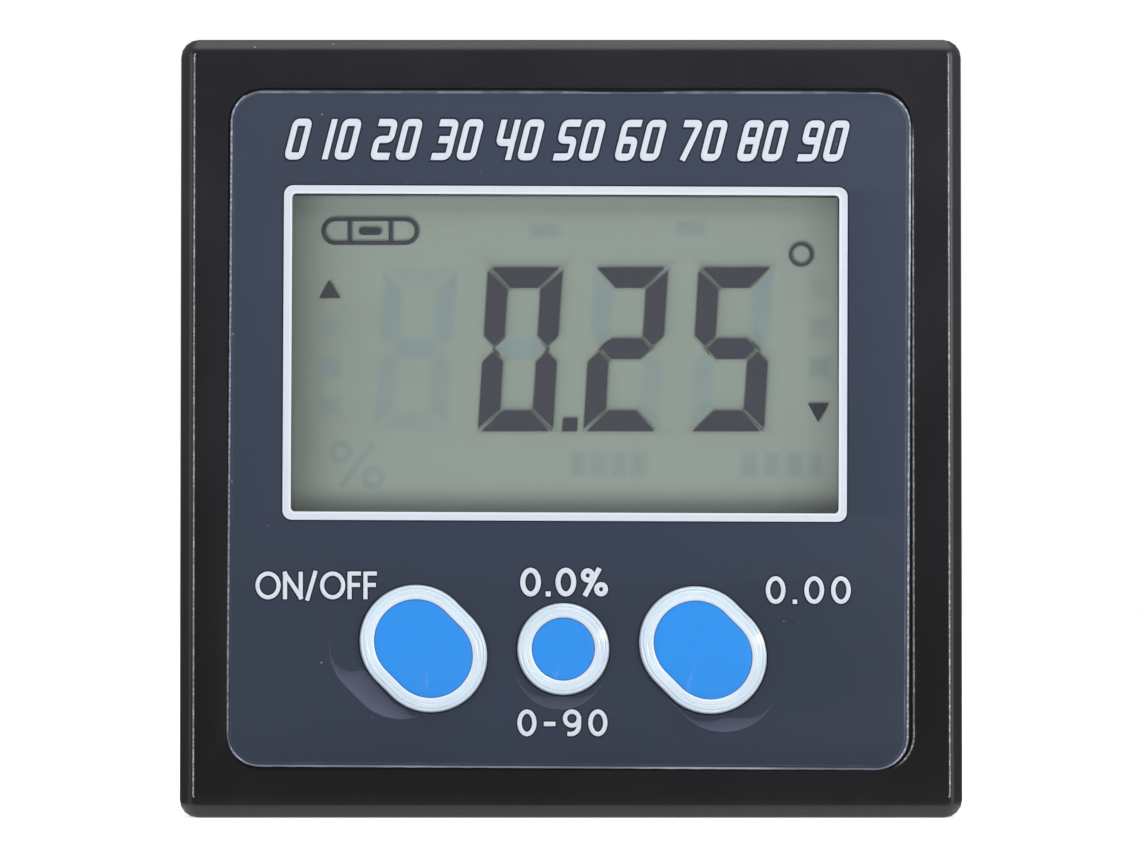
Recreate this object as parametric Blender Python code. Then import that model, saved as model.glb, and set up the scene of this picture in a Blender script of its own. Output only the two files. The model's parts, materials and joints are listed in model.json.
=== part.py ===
"""Digital angle gauge: a pocket inclinometer in a square case with a magnetic base.

The gauge stands on its base, +Z up, with its face towards -Y. The origin is under the
middle of the case, on the surface that it stands on. All lengths are in metres.
"""

import math

import bmesh
import bpy
from mathutils import Matrix, Vector

MM = 0.001

# Case. Its width and depth follow from the cells and from what lies behind the face.
CASE_HEIGHT = 54.8 * MM
CASE_CORNER = 1.27 * MM  # rounding of the four edges that run front to back
CASE_CHAMFER = 0.85 * MM  # slope around the front and the back
EDGE_BREAK = 0.12 * MM  # softened corner on either side of that slope
SIDE_WALL = 2.0 * MM
FRONT_WALL = 1.6 * MM
BASE_WALL = 4.2 * MM  # thick enough to hold the magnets
CAVITY_CORNER = 0.8 * MM

# Face: the recess and the printed film in it
RECESS_MARGIN = 3.3 * MM  # from the case's outline to the recess
RECESS_DEPTH = 0.5 * MM
RECESS_CORNER = 2.5 * MM
FILM_THICKNESS = 0.25 * MM
FILM_EDGE_GAP = 0.22 * MM
BOND_GAP = 0.1 * MM  # room for glue or a press fit

# Window and display
WINDOW_LEFT_MARGIN = 7.8 * MM  # from the case's outline to the window
WINDOW_RIGHT_MARGIN = 8.6 * MM
WINDOW_TOP_MARGIN = 10.9 * MM
WINDOW_ABOVE_KEYS = 9.6 * MM  # key centres to the window's lower edge
WINDOW_CORNER = 0.3 * MM
LENS_OVERLAP = 0.3 * MM  # how far the film laps over the lens
LENS_FLANGE_WIDTH = 1.0 * MM
LENS_FLANGE = 0.8 * MM
GLASS_THICKNESS = 0.7 * MM
GLASS_BORDER = 1.6 * MM  # glass beyond the window, at the sides and the top
GLASS_LEDGE = 3.0 * MM  # glass beyond the window at the bottom
CONTACT_LEDGE = 2.2 * MM  # strip of front glass that the rear glass leaves bare
REFLECTOR_THICKNESS = 0.3 * MM
HOLDER_WALL = 0.9 * MM
HOLDER_FLOOR = 0.8 * MM
HOLDER_GAP = 0.2 * MM
CONNECTOR_THICKNESS = 1.1 * MM
CONNECTOR_INSET = 2.0 * MM  # from the glass's side edges

# Keys
KEY_ROW_HEIGHT = 11.9 * MM  # base to key centres
KEY_ROW_OFFSET = -0.55 * MM  # middle key from the middle of the case
KEY_SPACING = 2.13 * MM  # between one key's rim and the next
SIDE_KEY_RADIUS = 3.96 * MM
SIDE_KEY_STRETCH = 1.06 * MM  # shift between its two round ends, both across and down
MIDDLE_KEY_RADIUS = 3.24 * MM
KEY_RIM_WIDTH = 1.04 * MM
KEY_RIM_SLOPE = 0.32 * MM  # height of the rim's rounded outer shoulder
KEY_PROUD = 0.4 * MM  # rim above the film
KEY_CLEARANCE = 0.16 * MM
KEY_FLANGE = 0.8 * MM
KEY_FLANGE_WIDTH = 0.5 * MM
KEY_STEM_RADIUS = 1.5 * MM
KEY_TRAVEL = 0.3 * MM
CAP_THICKNESS = 0.5 * MM
CAP_SET_IN = 0.1 * MM  # cap below the rim
CAP_FIT = 0.06 * MM
CAP_EDGE = 0.08 * MM

# Switches
SWITCH_WIDTH = 5.2 * MM
SWITCH_HEIGHT = 2.0 * MM
SWITCH_COVER = 0.35 * MM
SWITCH_FLOOR = 0.5 * MM
PLUNGER_RADIUS = 1.2 * MM
PLUNGER_FLANGE_WIDTH = 0.4 * MM
PLUNGER_FLANGE = 0.4 * MM
PLUNGER_GAP = 0.15 * MM

# Circuit board and what it carries
BOARD_THICKNESS = 1.2 * MM
BOARD_EDGE_GAP = 0.4 * MM
BOARD_LIFT = 0.15 * MM  # board behind the display holder
CHIP_WIDTH = 10.0 * MM
CHIP_HEIGHT = 1.6 * MM
CHIP_OFFSET = -9.0 * MM
CHIP_BELOW_CAPACITOR = 11.5 * MM
SENSOR_WIDTH = 5.0 * MM
SENSOR_HEIGHT = 1.7 * MM
SENSOR_OFFSET = 6.0 * MM
CRYSTAL_RADIUS = 1.0 * MM
CRYSTAL_LENGTH = 6.0 * MM
CRYSTAL_BELOW_CHIP = 8.0 * MM
CAPACITOR_RADIUS = 2.5 * MM
CAPACITOR_HEIGHT = 5.2 * MM
CAPACITOR_OFFSET = 4.0 * MM
CAPACITOR_BELOW_TOP = 10.3 * MM
PARTS_ROOM = 6.85 * MM  # between the board and the battery tray

# Screws
BOSS_RADIUS = 2.6 * MM
BOSS_SINK = 0.4 * MM  # how far a boss runs into the walls beside it
BOARD_BOSS_RADIUS = 1.7 * MM
LOWER_BOSS_MARGIN = 6.9 * MM  # from the case's side
LOWER_BOSS_ABOVE_BASE = 13.0 * MM
UPPER_BOSS_MARGIN = 13.5 * MM
UPPER_BOSS_BELOW_TOP = 5.3 * MM
COVER_SCREW_RADIUS = 1.0 * MM
COVER_SCREW_LENGTH = 8.0 * MM
COVER_HEAD_RADIUS = 1.9 * MM
COVER_HEAD_HEIGHT = 1.1 * MM
BOARD_SCREW_RADIUS = 0.7 * MM
BOARD_SCREW_LENGTH = 3.6 * MM
BOARD_HEAD_RADIUS = 1.4 * MM
BOARD_HEAD_HEIGHT = 0.9 * MM
SCREW_GAP = 0.12 * MM
DRIVE_WIDTH = 0.45 * MM  # arms of the cross in a screw head
DRIVE_DEPTH = 0.5 * MM
DRIVE_REACH = 0.55  # length of each arm, of the head's radius
HEAD_SHOULDER = 0.55  # straight side of a head, of its height
HEAD_TOP = 0.72  # flat top of a head, of its radius
SCREW_TIP = 0.7  # blunt tip, of the screw's radius
SCREW_TAPER = 0.6  # length of the taper to the tip, of the screw's radius

# Base magnets
MAGNET_RADIUS = 5.0 * MM
MAGNET_THICKNESS = 3.0 * MM
MAGNET_MARGIN = 10.5 * MM  # from the case's side to the outer magnets' centres
MAGNET_SET_IN = 0.1 * MM  # magnet above the surface that the case stands on

# Cells, AAA size
CELL_RADIUS = 5.25 * MM
CELL_LENGTH = 44.5 * MM  # with its button
CELL_BUTTON_RADIUS = 1.9 * MM
CELL_BUTTON = 0.8 * MM
CELL_EDGE = 0.5 * MM
CELL_SPACING = 0.5 * MM
CELL_GAP = 0.25 * MM

# Battery tray and rear cover
COVER_THICKNESS = 2.0 * MM
COVER_SET_IN = 0.2 * MM  # cover within the rim of the case
COVER_EDGE_GAP = 0.2 * MM
COVER_SEAT_GAP = 0.15 * MM
CONTACT_ROOM = 3.5 * MM  # the cells' contacts, both ends together
TRAY_WALL = 1.2 * MM
TRAY_END_WALL = 1.0 * MM
TRAY_SIDE_GAP = 0.5 * MM  # between the tray and the case's walls
TRAY_DROP = 1.1 * MM  # tray below the middle of the case's inside

# Battery door
DOOR_THICKNESS = 1.4 * MM
DOOR_OVERLAP = 0.7 * MM  # door beyond the opening, below
DOOR_TOP_OVERLAP = 1.9 * MM  # and above, where the latch is
DOOR_SIDE_OVERLAP = 0.5 * MM
DOOR_GAP = 0.2 * MM
DOOR_HEADROOM = 0.35 * MM  # door to the cells
HOOK_WIDTH = 5.0 * MM
HOOK_SPACING = 26.0 * MM
HOOK_REACH = 0.7 * MM  # hook behind the cover's lower edge
HOOK_THICKNESS = 0.8 * MM
LATCH_WIDTH = 9.0 * MM
LATCH_DEPTH = 2.4 * MM
LATCH_THICKNESS = 0.8 * MM
NOTCH_RADIUS = 6.0 * MM
NOTCH_DEPTH = 0.9 * MM
NOTCH_REACH = 2.2 * MM  # finger notch above the door
GRIP_RIBS = 4
GRIP_PITCH = 1.5 * MM
GRIP_WIDTH = 12.0 * MM
GRIP_DEPTH = 0.3 * MM

# Contacts and leads
CONTACT_THICKNESS = 0.3 * MM
CONTACT_WIDTH = 8.0 * MM
CONTACT_DEPTH = 5.2 * MM
CONTACT_TAB_WIDTH = 2.4 * MM
CONTACT_TAB_LENGTH = 0.8 * MM  # tab in front of the tray
CONTACT_SLOT_GAP = 0.2 * MM
SPRING_WIRE_RADIUS = 0.22 * MM
SPRING_BASE_RADIUS = 3.0 * MM
SPRING_TIP_RADIUS = 1.7 * MM
SPRING_TURNS = 3
SPRING_STEPS = 12  # points a turn
LEAD_RADIUS = 0.5 * MM
LEAD_STEPS = 14
LEAD_PAD_INSET = 6.75 * MM  # from the contacts to where the leads meet the board

# Smoothness
ROUND_STEPS = 32
SMALL_STEPS = 12
CORNER_STEPS = 4
RIM_STEPS = 6
GRIP_STEPS = 8
THROUGH = 1.0 * MM  # how far a cutter runs past what it cuts

# The case's width and depth
TRAY_LENGTH = CELL_LENGTH + CONTACT_ROOM
CASE_WIDTH = TRAY_LENGTH + 2 * (TRAY_END_WALL + TRAY_SIDE_GAP + SIDE_WALL)
CRADLE_RADIUS = CELL_RADIUS + CELL_GAP
DISPLAY_DEPTH = 2 * GLASS_THICKNESS + REFLECTOR_THICKNESS + HOLDER_FLOOR + 3 * BOND_GAP
FACE_DEPTH = RECESS_DEPTH + FRONT_WALL + LENS_FLANGE + 2 * BOND_GAP + DISPLAY_DEPTH
BOARD_DEPTH = BOARD_LIFT + BOARD_THICKNESS + PARTS_ROOM
REAR_DEPTH = TRAY_WALL + CRADLE_RADIUS + CELL_RADIUS + DOOR_HEADROOM + DOOR_THICKNESS
CASE_DEPTH = FACE_DEPTH + BOARD_DEPTH + REAR_DEPTH + COVER_SET_IN

# Depths along Y, from the face backwards
FRONT_Y = -CASE_DEPTH / 2
BACK_Y = CASE_DEPTH / 2
RECESS_Y = FRONT_Y + RECESS_DEPTH
WALL_BACK_Y = RECESS_Y + FRONT_WALL
FILM_BACK_Y = RECESS_Y - BOND_GAP
FILM_FRONT_Y = FILM_BACK_Y - FILM_THICKNESS
FLANGE_FRONT_Y = WALL_BACK_Y + BOND_GAP
LENS_BACK_Y = FLANGE_FRONT_Y + LENS_FLANGE
GLASS_FRONT_Y = LENS_BACK_Y + BOND_GAP
GLASS_BACK_Y = GLASS_FRONT_Y + GLASS_THICKNESS
REAR_GLASS_FRONT_Y = GLASS_BACK_Y + BOND_GAP
REAR_GLASS_BACK_Y = REAR_GLASS_FRONT_Y + GLASS_THICKNESS
REFLECTOR_FRONT_Y = REAR_GLASS_BACK_Y + BOND_GAP
REFLECTOR_BACK_Y = REFLECTOR_FRONT_Y + REFLECTOR_THICKNESS
HOLDER_FLOOR_Y = REFLECTOR_BACK_Y + BOND_GAP
HOLDER_BACK_Y = HOLDER_FLOOR_Y + HOLDER_FLOOR
BOARD_FRONT_Y = HOLDER_BACK_Y + BOARD_LIFT
BOARD_BACK_Y = BOARD_FRONT_Y + BOARD_THICKNESS
PARTS_FRONT_Y = BOARD_BACK_Y + BOND_GAP
COVER_BACK_Y = BACK_Y - COVER_SET_IN
COVER_FRONT_Y = COVER_BACK_Y - COVER_THICKNESS
DOOR_FRONT_Y = COVER_BACK_Y - DOOR_THICKNESS
CELL_Y = DOOR_FRONT_Y - DOOR_HEADROOM - CELL_RADIUS
TRAY_FRONT_Y = CELL_Y - CRADLE_RADIUS - TRAY_WALL
KEY_TOP_Y = FILM_FRONT_Y - KEY_PROUD
KEY_FLANGE_BACK_Y = FLANGE_FRONT_Y + KEY_FLANGE
SWITCH_BACK_Y = BOARD_FRONT_Y - BOND_GAP
SWITCH_FRONT_Y = SWITCH_BACK_Y - SWITCH_HEIGHT
PLUNGER_FLANGE_Y = SWITCH_FRONT_Y + SWITCH_COVER + BOND_GAP
KEY_STEM_BACK_Y = SWITCH_FRONT_Y - KEY_TRAVEL - PLUNGER_GAP
PLUNGER_TOP_Y = KEY_STEM_BACK_Y + BOND_GAP

# Widths and heights that follow from the sizes
INNER_WIDTH = CASE_WIDTH - 2 * SIDE_WALL
INNER_BOTTOM = BASE_WALL
INNER_TOP = CASE_HEIGHT - SIDE_WALL
WINDOW_WIDTH = CASE_WIDTH - WINDOW_LEFT_MARGIN - WINDOW_RIGHT_MARGIN
WINDOW_OFFSET = (WINDOW_LEFT_MARGIN - WINDOW_RIGHT_MARGIN) / 2
WINDOW_BOTTOM = KEY_ROW_HEIGHT + WINDOW_ABOVE_KEYS
WINDOW_TOP = CASE_HEIGHT - WINDOW_TOP_MARGIN
WINDOW_HEIGHT = WINDOW_TOP - WINDOW_BOTTOM
WINDOW_Z = (WINDOW_TOP + WINDOW_BOTTOM) / 2
GLASS_WIDTH = WINDOW_WIDTH + 2 * GLASS_BORDER
GLASS_BOTTOM = WINDOW_BOTTOM - GLASS_LEDGE
GLASS_TOP = WINDOW_TOP + GLASS_BORDER
REAR_GLASS_BOTTOM = GLASS_BOTTOM + CONTACT_LEDGE
CONNECTOR_Z = GLASS_BOTTOM + CONTACT_LEDGE / 2
BOSS_X = INNER_WIDTH / 2 - BOSS_RADIUS + BOSS_SINK
BOSS_BOTTOM_Z = INNER_BOTTOM + BOSS_RADIUS - BOSS_SINK
BOSS_TOP_Z = INNER_TOP - BOSS_RADIUS + BOSS_SINK
MAGNET_X = CASE_WIDTH / 2 - MAGNET_MARGIN
CAPACITOR_Z = CASE_HEIGHT - CAPACITOR_BELOW_TOP
CHIP_Z = CAPACITOR_Z - CHIP_BELOW_CAPACITOR
CELL_PITCH = 2 * CELL_RADIUS + CELL_SPACING
TRAY_Z = (INNER_BOTTOM + INNER_TOP) / 2 - TRAY_DROP
TRAY_BOTTOM = TRAY_Z - CELL_PITCH / 2 - CRADLE_RADIUS
TRAY_TOP = TRAY_Z + CELL_PITCH / 2 + CRADLE_RADIUS
DOOR_BOTTOM = TRAY_BOTTOM - DOOR_OVERLAP
DOOR_TOP = TRAY_TOP + DOOR_TOP_OVERLAP
LATCH_BOTTOM = TRAY_TOP + CELL_GAP
LATCH_TOP = LATCH_BOTTOM + LATCH_THICKNESS
DOOR_WIDTH = TRAY_LENGTH + 2 * DOOR_SIDE_OVERLAP
CELL_Z = {"upper": TRAY_Z + CELL_PITCH / 2, "lower": TRAY_Z - CELL_PITCH / 2}
CONTACT_X = TRAY_LENGTH / 2 - BOND_GAP - CONTACT_THICKNESS / 2
KEY_PITCH = SIDE_KEY_RADIUS + SIDE_KEY_STRETCH / 2 + MIDDLE_KEY_RADIUS + KEY_SPACING
KEY_X = {
    "left": KEY_ROW_OFFSET - KEY_PITCH,
    "middle": KEY_ROW_OFFSET,
    "right": KEY_ROW_OFFSET + KEY_PITCH,
}
KEY_RADIUS = {"left": SIDE_KEY_RADIUS, "middle": MIDDLE_KEY_RADIUS, "right": SIDE_KEY_RADIUS}
KEY_STRETCH = {"left": SIDE_KEY_STRETCH, "middle": 0.0, "right": SIDE_KEY_STRETCH}
COVER_SCREWS = [(x, z) for z in (BOSS_BOTTOM_Z, BOSS_TOP_Z) for x in (-BOSS_X, BOSS_X)]
LOWER_BOSS_X = CASE_WIDTH / 2 - LOWER_BOSS_MARGIN
UPPER_BOSS_X = CASE_WIDTH / 2 - UPPER_BOSS_MARGIN
UPPER_BOSS_Z = CASE_HEIGHT - UPPER_BOSS_BELOW_TOP
BOARD_SCREWS = [
    (-LOWER_BOSS_X, LOWER_BOSS_ABOVE_BASE),
    (LOWER_BOSS_X, LOWER_BOSS_ABOVE_BASE),
    (-UPPER_BOSS_X, UPPER_BOSS_Z),
    (UPPER_BOSS_X, UPPER_BOSS_Z),
]


for leftover in list(bpy.data.objects):
    bpy.data.objects.remove(leftover, do_unlink=True)

PARTS = bpy.data.collections.new("digital_angle_gauge")
CUTTERS = bpy.data.collections.new("cutters")
bpy.context.scene.collection.children.link(PARTS)
bpy.context.scene.collection.children.link(CUTTERS)


def finish(name, colour, roughness, metallic=0.0):
    """Return a plain material."""
    material = bpy.data.materials.new(name)
    material.use_nodes = True
    shader = material.node_tree.nodes["Principled BSDF"]
    shader.inputs["Base Color"].default_value = (*colour, 1.0)
    shader.inputs["Roughness"].default_value = roughness
    shader.inputs["Metallic"].default_value = metallic
    material.diffuse_color = (*colour, 1.0)
    return material


def mesh_object(name, bm, location, collection):
    """Put a finished mesh into the scene as an object."""
    mesh = bpy.data.meshes.new(name)
    bm.to_mesh(mesh)
    bm.free()
    obj = bpy.data.objects.new(name, mesh)
    obj.location = location
    collection.objects.link(obj)
    return obj


def piece(name, bm, location, material):
    """Add one piece of the gauge."""
    obj = mesh_object(name, bm, location, PARTS)
    obj.data.materials.append(material)
    obj.data.shade_smooth()
    obj.data.set_sharp_from_angle(angle=math.radians(35))
    return obj


def tool(name, bm, location):
    """Add a shape that only cuts or joins."""
    obj = mesh_object(name, bm, location, CUTTERS)
    obj.hide_render = True
    obj.display_type = "WIRE"
    return obj


def combine(target, operand, operation):
    """Put a Boolean on a piece."""
    modifier = target.modifiers.new(operand.name, "BOOLEAN")
    modifier.operation = operation
    modifier.solver = "EXACT"
    modifier.object = operand


def cut(target, *tools):
    """Take each tool's shape away from a piece."""
    for operand in tools:
        combine(target, operand, "DIFFERENCE")


def join(target, *tools):
    """Add each tool's shape to a piece."""
    for operand in tools:
        combine(target, operand, "UNION")


def block(width, depth, height, corner=0.0, along="Y", steps=CORNER_STEPS):
    """A box with its edges rounded that run along one axis."""
    bm = bmesh.new()
    bmesh.ops.create_cube(bm, size=1.0)
    bmesh.ops.scale(bm, vec=(width, depth, height), verts=bm.verts)
    if corner > 0.0:
        axis = "XYZ".index(along)
        soften(bm, corner, lambda e: parallel(e, axis), steps)
    return bm


def parallel(edge, axis):
    """Whether an edge runs along an axis."""
    run = (edge.verts[1].co - edge.verts[0].co).normalized()
    return abs(abs(run[axis]) - 1.0) < 1e-5


def span(x0, x1, y0, y1, z0, z1, corner=0.0, along="Y"):
    """A block between two corners, with its centre."""
    bm = block(x1 - x0, y1 - y0, z1 - z0, corner, along)
    return bm, Vector(((x0 + x1) / 2, (y0 + y1) / 2, (z0 + z1) / 2))


def soften(bm, offset, select, steps=1):
    """Bevel the edges that a test picks, at a thousand times their size.

    The bevel tool merges what lies closer than a thousandth of a millimetre, which is
    coarse beside edges this small.
    """
    edges = [e for e in bm.edges if select(e)]
    bmesh.ops.scale(bm, vec=(1 / MM, 1 / MM, 1 / MM), verts=bm.verts)
    bmesh.ops.bevel(
        bm, geom=edges, offset=offset / MM, segments=steps, profile=0.5, affect="EDGES"
    )
    bmesh.ops.scale(bm, vec=(MM, MM, MM), verts=bm.verts)


def turned(profile, steps=ROUND_STEPS, stretch=0.0):
    """Turn a profile of (radius, depth) pairs around Y.

    With a stretch, the two halves of the turned shape are pulled apart along the line
    from upper left to lower right, which leaves straight sides between round ends.
    """
    bm = bmesh.new()
    verts = [bm.verts.new((r, y, 0.0)) for r, y in profile]
    edges = [bm.edges.new(pair) for pair in zip(verts, verts[1:])]
    start = Matrix.Rotation(math.pi / 4 + math.pi / steps, 3, "Y")
    bmesh.ops.rotate(bm, cent=(0, 0, 0), matrix=start, verts=bm.verts)
    bmesh.ops.spin(
        bm,
        geom=verts + edges,
        cent=(0, 0, 0),
        axis=(0, 1, 0),
        angle=2 * math.pi,
        steps=steps,
    )
    bmesh.ops.remove_doubles(bm, verts=bm.verts, dist=0.002 * MM)
    if stretch:
        for vert in bm.verts:
            side = vert.co.x - vert.co.z
            if abs(side) > 1e-7:
                shift = math.copysign(stretch / 2, side)
                vert.co.x += shift
                vert.co.z -= shift
    bmesh.ops.recalc_face_normals(bm, faces=bm.faces)
    return bm


def rod(radius, length, along="Y", steps=SMALL_STEPS):
    """A plain cylinder."""
    bm = bmesh.new()
    bmesh.ops.create_cone(
        bm, cap_ends=True, segments=steps, radius1=radius, radius2=radius, depth=length
    )
    turn = {"X": ("Y", math.pi / 2), "Y": ("X", math.pi / 2), "Z": ("Z", 0.0)}[along]
    bmesh.ops.rotate(
        bm, cent=(0, 0, 0), matrix=Matrix.Rotation(turn[1], 3, turn[0]), verts=bm.verts
    )
    return bm


def pillar(name, radius, y0, y1, x, z, steps=SMALL_STEPS):
    """A joining or cutting cylinder along Y."""
    return tool(name, rod(radius, y1 - y0, "Y", steps), (x, (y0 + y1) / 2, z))


def box_tool(name, x0, x1, y0, y1, z0, z1, corner=0.0, along="Y"):
    """A joining or cutting box between two corners."""
    bm, centre = span(x0, x1, y0, y1, z0, z1, corner, along)
    return tool(name, bm, centre)


def window_tool(name, margin, y0, y1):
    """A block over the window, wider than it by a margin."""
    width = WINDOW_WIDTH + 2 * margin
    height = WINDOW_HEIGHT + 2 * margin
    bm = block(width, y1 - y0, height, WINDOW_CORNER + max(margin, 0.0))
    return tool(name, bm, (WINDOW_OFFSET, (y0 + y1) / 2, WINDOW_Z))


def key_tool(name, side, margin, y0, y1):
    """A block with a key's outline, wider than it by a margin."""
    radius = KEY_RADIUS[side] + margin
    profile = [(0.0, y0), (radius, y0), (radius, y1), (0.0, y1)]
    bm = turned(profile, ROUND_STEPS, KEY_STRETCH[side])
    return tool(f"{name}_{side}", bm, (KEY_X[side], 0.0, KEY_ROW_HEIGHT))


def case_mesh():
    """The case's outer form, with a slope around the front and the back."""
    bm = block(CASE_WIDTH, CASE_DEPTH, CASE_HEIGHT, CASE_CORNER)

    def on_end(edge, inset):
        one, other = (v.co.y for v in edge.verts)
        level = CASE_DEPTH / 2 - inset
        return abs(one - other) < 1e-7 and abs(abs(one) - level) < 1e-7

    soften(bm, CASE_CHAMFER, lambda e: on_end(e, 0.0))
    if EDGE_BREAK > 0.0:
        soften(bm, EDGE_BREAK, lambda e: on_end(e, 0.0) or on_end(e, CASE_CHAMFER))
    return bm


def build_housing(material):
    """Moulded case: recess, window, key wells, screw bosses and magnet pockets."""
    housing = piece("housing", case_mesh(), (0, 0, CASE_HEIGHT / 2), material)
    half = INNER_WIDTH / 2
    cut(
        housing,
        box_tool(
            "cavity", -half, half, WALL_BACK_Y, BACK_Y + THROUGH, INNER_BOTTOM, INNER_TOP,
            CAVITY_CORNER,
        ),
    )
    seat = COVER_FRONT_Y - COVER_SEAT_GAP
    sunk = WALL_BACK_Y - FRONT_WALL / 2
    for number, (x, z) in enumerate(COVER_SCREWS, 1):
        join(housing, pillar(f"corner_boss_{number}", BOSS_RADIUS, sunk, seat, x, z))
    for number, (x, z) in enumerate(BOARD_SCREWS, 1):
        top = BOARD_FRONT_Y - BOND_GAP
        join(housing, pillar(f"board_boss_{number}", BOARD_BOSS_RADIUS, sunk, top, x, z))
    margin = RECESS_MARGIN
    side = CASE_WIDTH / 2 - margin
    cut(
        housing,
        box_tool(
            "face_recess", -side, side, FRONT_Y - THROUGH, RECESS_Y, margin,
            CASE_HEIGHT - margin, RECESS_CORNER,
        ),
        window_tool(
            "lens_opening", LENS_OVERLAP + BOND_GAP, FRONT_Y - THROUGH,
            WALL_BACK_Y + THROUGH,
        ),
    )
    for side_name in KEY_X:
        cut(
            housing,
            key_tool(
                "key_well", side_name, KEY_CLEARANCE, FRONT_Y - THROUGH,
                WALL_BACK_Y + THROUGH / 2,
            ),
        )
    for number, (x, z) in enumerate(COVER_SCREWS, 1):
        radius = COVER_SCREW_RADIUS + SCREW_GAP
        end = COVER_BACK_Y - COVER_HEAD_HEIGHT - COVER_SCREW_LENGTH - THROUGH
        cut(housing, pillar(f"corner_pilot_{number}", radius, end, seat + THROUGH, x, z))
    for number, (x, z) in enumerate(BOARD_SCREWS, 1):
        radius = BOARD_SCREW_RADIUS + SCREW_GAP
        end = BOARD_BACK_Y + BOND_GAP - BOARD_SCREW_LENGTH - SCREW_GAP
        cut(housing, pillar(f"board_pilot_{number}", radius, end, BOARD_FRONT_Y, x, z))
    depth = MAGNET_SET_IN + MAGNET_THICKNESS + BOND_GAP
    for number, x in enumerate((-MAGNET_X, 0.0, MAGNET_X), 1):
        pocket = rod(MAGNET_RADIUS + BOND_GAP, depth + THROUGH, "Z", ROUND_STEPS)
        cut(housing, tool(f"magnet_pocket_{number}", pocket, (x, 0, (depth - THROUGH) / 2)))


def build_magnets(material):
    """Disc magnets in the base."""
    z = MAGNET_SET_IN + MAGNET_THICKNESS / 2
    places = {"left": -MAGNET_X, "middle": 0.0, "right": MAGNET_X}
    for name, x in places.items():
        bm = rod(MAGNET_RADIUS, MAGNET_THICKNESS, "Z", ROUND_STEPS)
        piece(f"base_magnet_{name}", bm, (x, 0, z), material)


def build_overlay(material):
    """Printed film in the recess, open at the window and the keys."""
    side = CASE_WIDTH / 2 - RECESS_MARGIN - FILM_EDGE_GAP
    bottom = RECESS_MARGIN + FILM_EDGE_GAP
    bm, centre = span(
        -side, side, FILM_FRONT_Y, FILM_BACK_Y, bottom, CASE_HEIGHT - bottom,
        RECESS_CORNER - FILM_EDGE_GAP,
    )
    film = piece("face_overlay", bm, centre, material)
    front, back = FILM_FRONT_Y - THROUGH, FILM_BACK_Y + THROUGH
    cut(film, window_tool("film_window", 0.0, front, back))
    for side_name in KEY_X:
        cut(film, key_tool("film_hole", side_name, KEY_CLEARANCE, front, back))


def build_lens(material):
    """Clear window: a raised pane in the case's opening, with a flange behind the wall."""
    width = WINDOW_WIDTH + 2 * LENS_OVERLAP
    height = WINDOW_HEIGHT + 2 * LENS_OVERLAP
    middle = (RECESS_Y + LENS_BACK_Y) / 2
    pane = block(width, LENS_BACK_Y - RECESS_Y, height, WINDOW_CORNER + LENS_OVERLAP)
    lens = piece("display_lens", pane, (WINDOW_OFFSET, middle, WINDOW_Z), material)
    margin = LENS_OVERLAP + LENS_FLANGE_WIDTH
    join(lens, window_tool("lens_flange", margin, FLANGE_FRONT_Y, LENS_BACK_Y))


def build_display(glass, reflector, holder_material, rubber):
    """Liquid-crystal cell in its holder, with the strip that joins it to the board."""
    half = GLASS_WIDTH / 2
    left, right = WINDOW_OFFSET - half, WINDOW_OFFSET + half
    bm, centre = span(left, right, GLASS_FRONT_Y, GLASS_BACK_Y, GLASS_BOTTOM, GLASS_TOP)
    piece("display_front_glass", bm, centre, glass)
    bm, centre = span(
        left, right, REAR_GLASS_FRONT_Y, REAR_GLASS_BACK_Y, REAR_GLASS_BOTTOM, GLASS_TOP
    )
    piece("display_rear_glass", bm, centre, glass)
    bm, centre = span(
        left, right, REFLECTOR_FRONT_Y, REFLECTOR_BACK_Y, REAR_GLASS_BOTTOM, GLASS_TOP
    )
    piece("display_reflector", bm, centre, reflector)

    rim = HOLDER_GAP + HOLDER_WALL
    bm, centre = span(
        left - rim, right + rim, GLASS_FRONT_Y, HOLDER_BACK_Y, GLASS_BOTTOM - rim,
        GLASS_TOP + rim, CAVITY_CORNER,
    )
    holder = piece("display_holder", bm, centre, holder_material)
    gap = HOLDER_GAP
    strip = half - CONNECTOR_INSET
    thick = CONNECTOR_THICKNESS / 2
    cut(
        holder,
        box_tool(
            "glass_pocket", left - gap, right + gap, GLASS_FRONT_Y - THROUGH,
            HOLDER_FLOOR_Y, GLASS_BOTTOM - gap, GLASS_TOP + gap,
        ),
        box_tool(
            "connector_slot", WINDOW_OFFSET - strip - gap, WINDOW_OFFSET + strip + gap,
            HOLDER_FLOOR_Y - THROUGH / 2, HOLDER_BACK_Y + THROUGH,
            CONNECTOR_Z - thick - gap, CONNECTOR_Z + thick + gap,
        ),
    )
    bm, centre = span(
        WINDOW_OFFSET - strip, WINDOW_OFFSET + strip, GLASS_BACK_Y + BOND_GAP,
        BOARD_FRONT_Y - BOND_GAP, CONNECTOR_Z - thick, CONNECTOR_Z + thick,
    )
    piece("display_connector", bm, centre, rubber)


def rim_profile(outer, inner):
    """The rounded rim of a key, from its inner edge over the crown to its side."""
    points = []
    crown = (outer - inner) / 2
    for step in range(RIM_STEPS + 1):
        angle = math.pi * step / RIM_STEPS
        r = inner + crown - crown * math.cos(angle)
        drop = CAP_SET_IN if step < RIM_STEPS / 2 else KEY_RIM_SLOPE
        points.append((r, KEY_TOP_Y + drop * (1.0 - math.sin(angle))))
    return points


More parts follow.
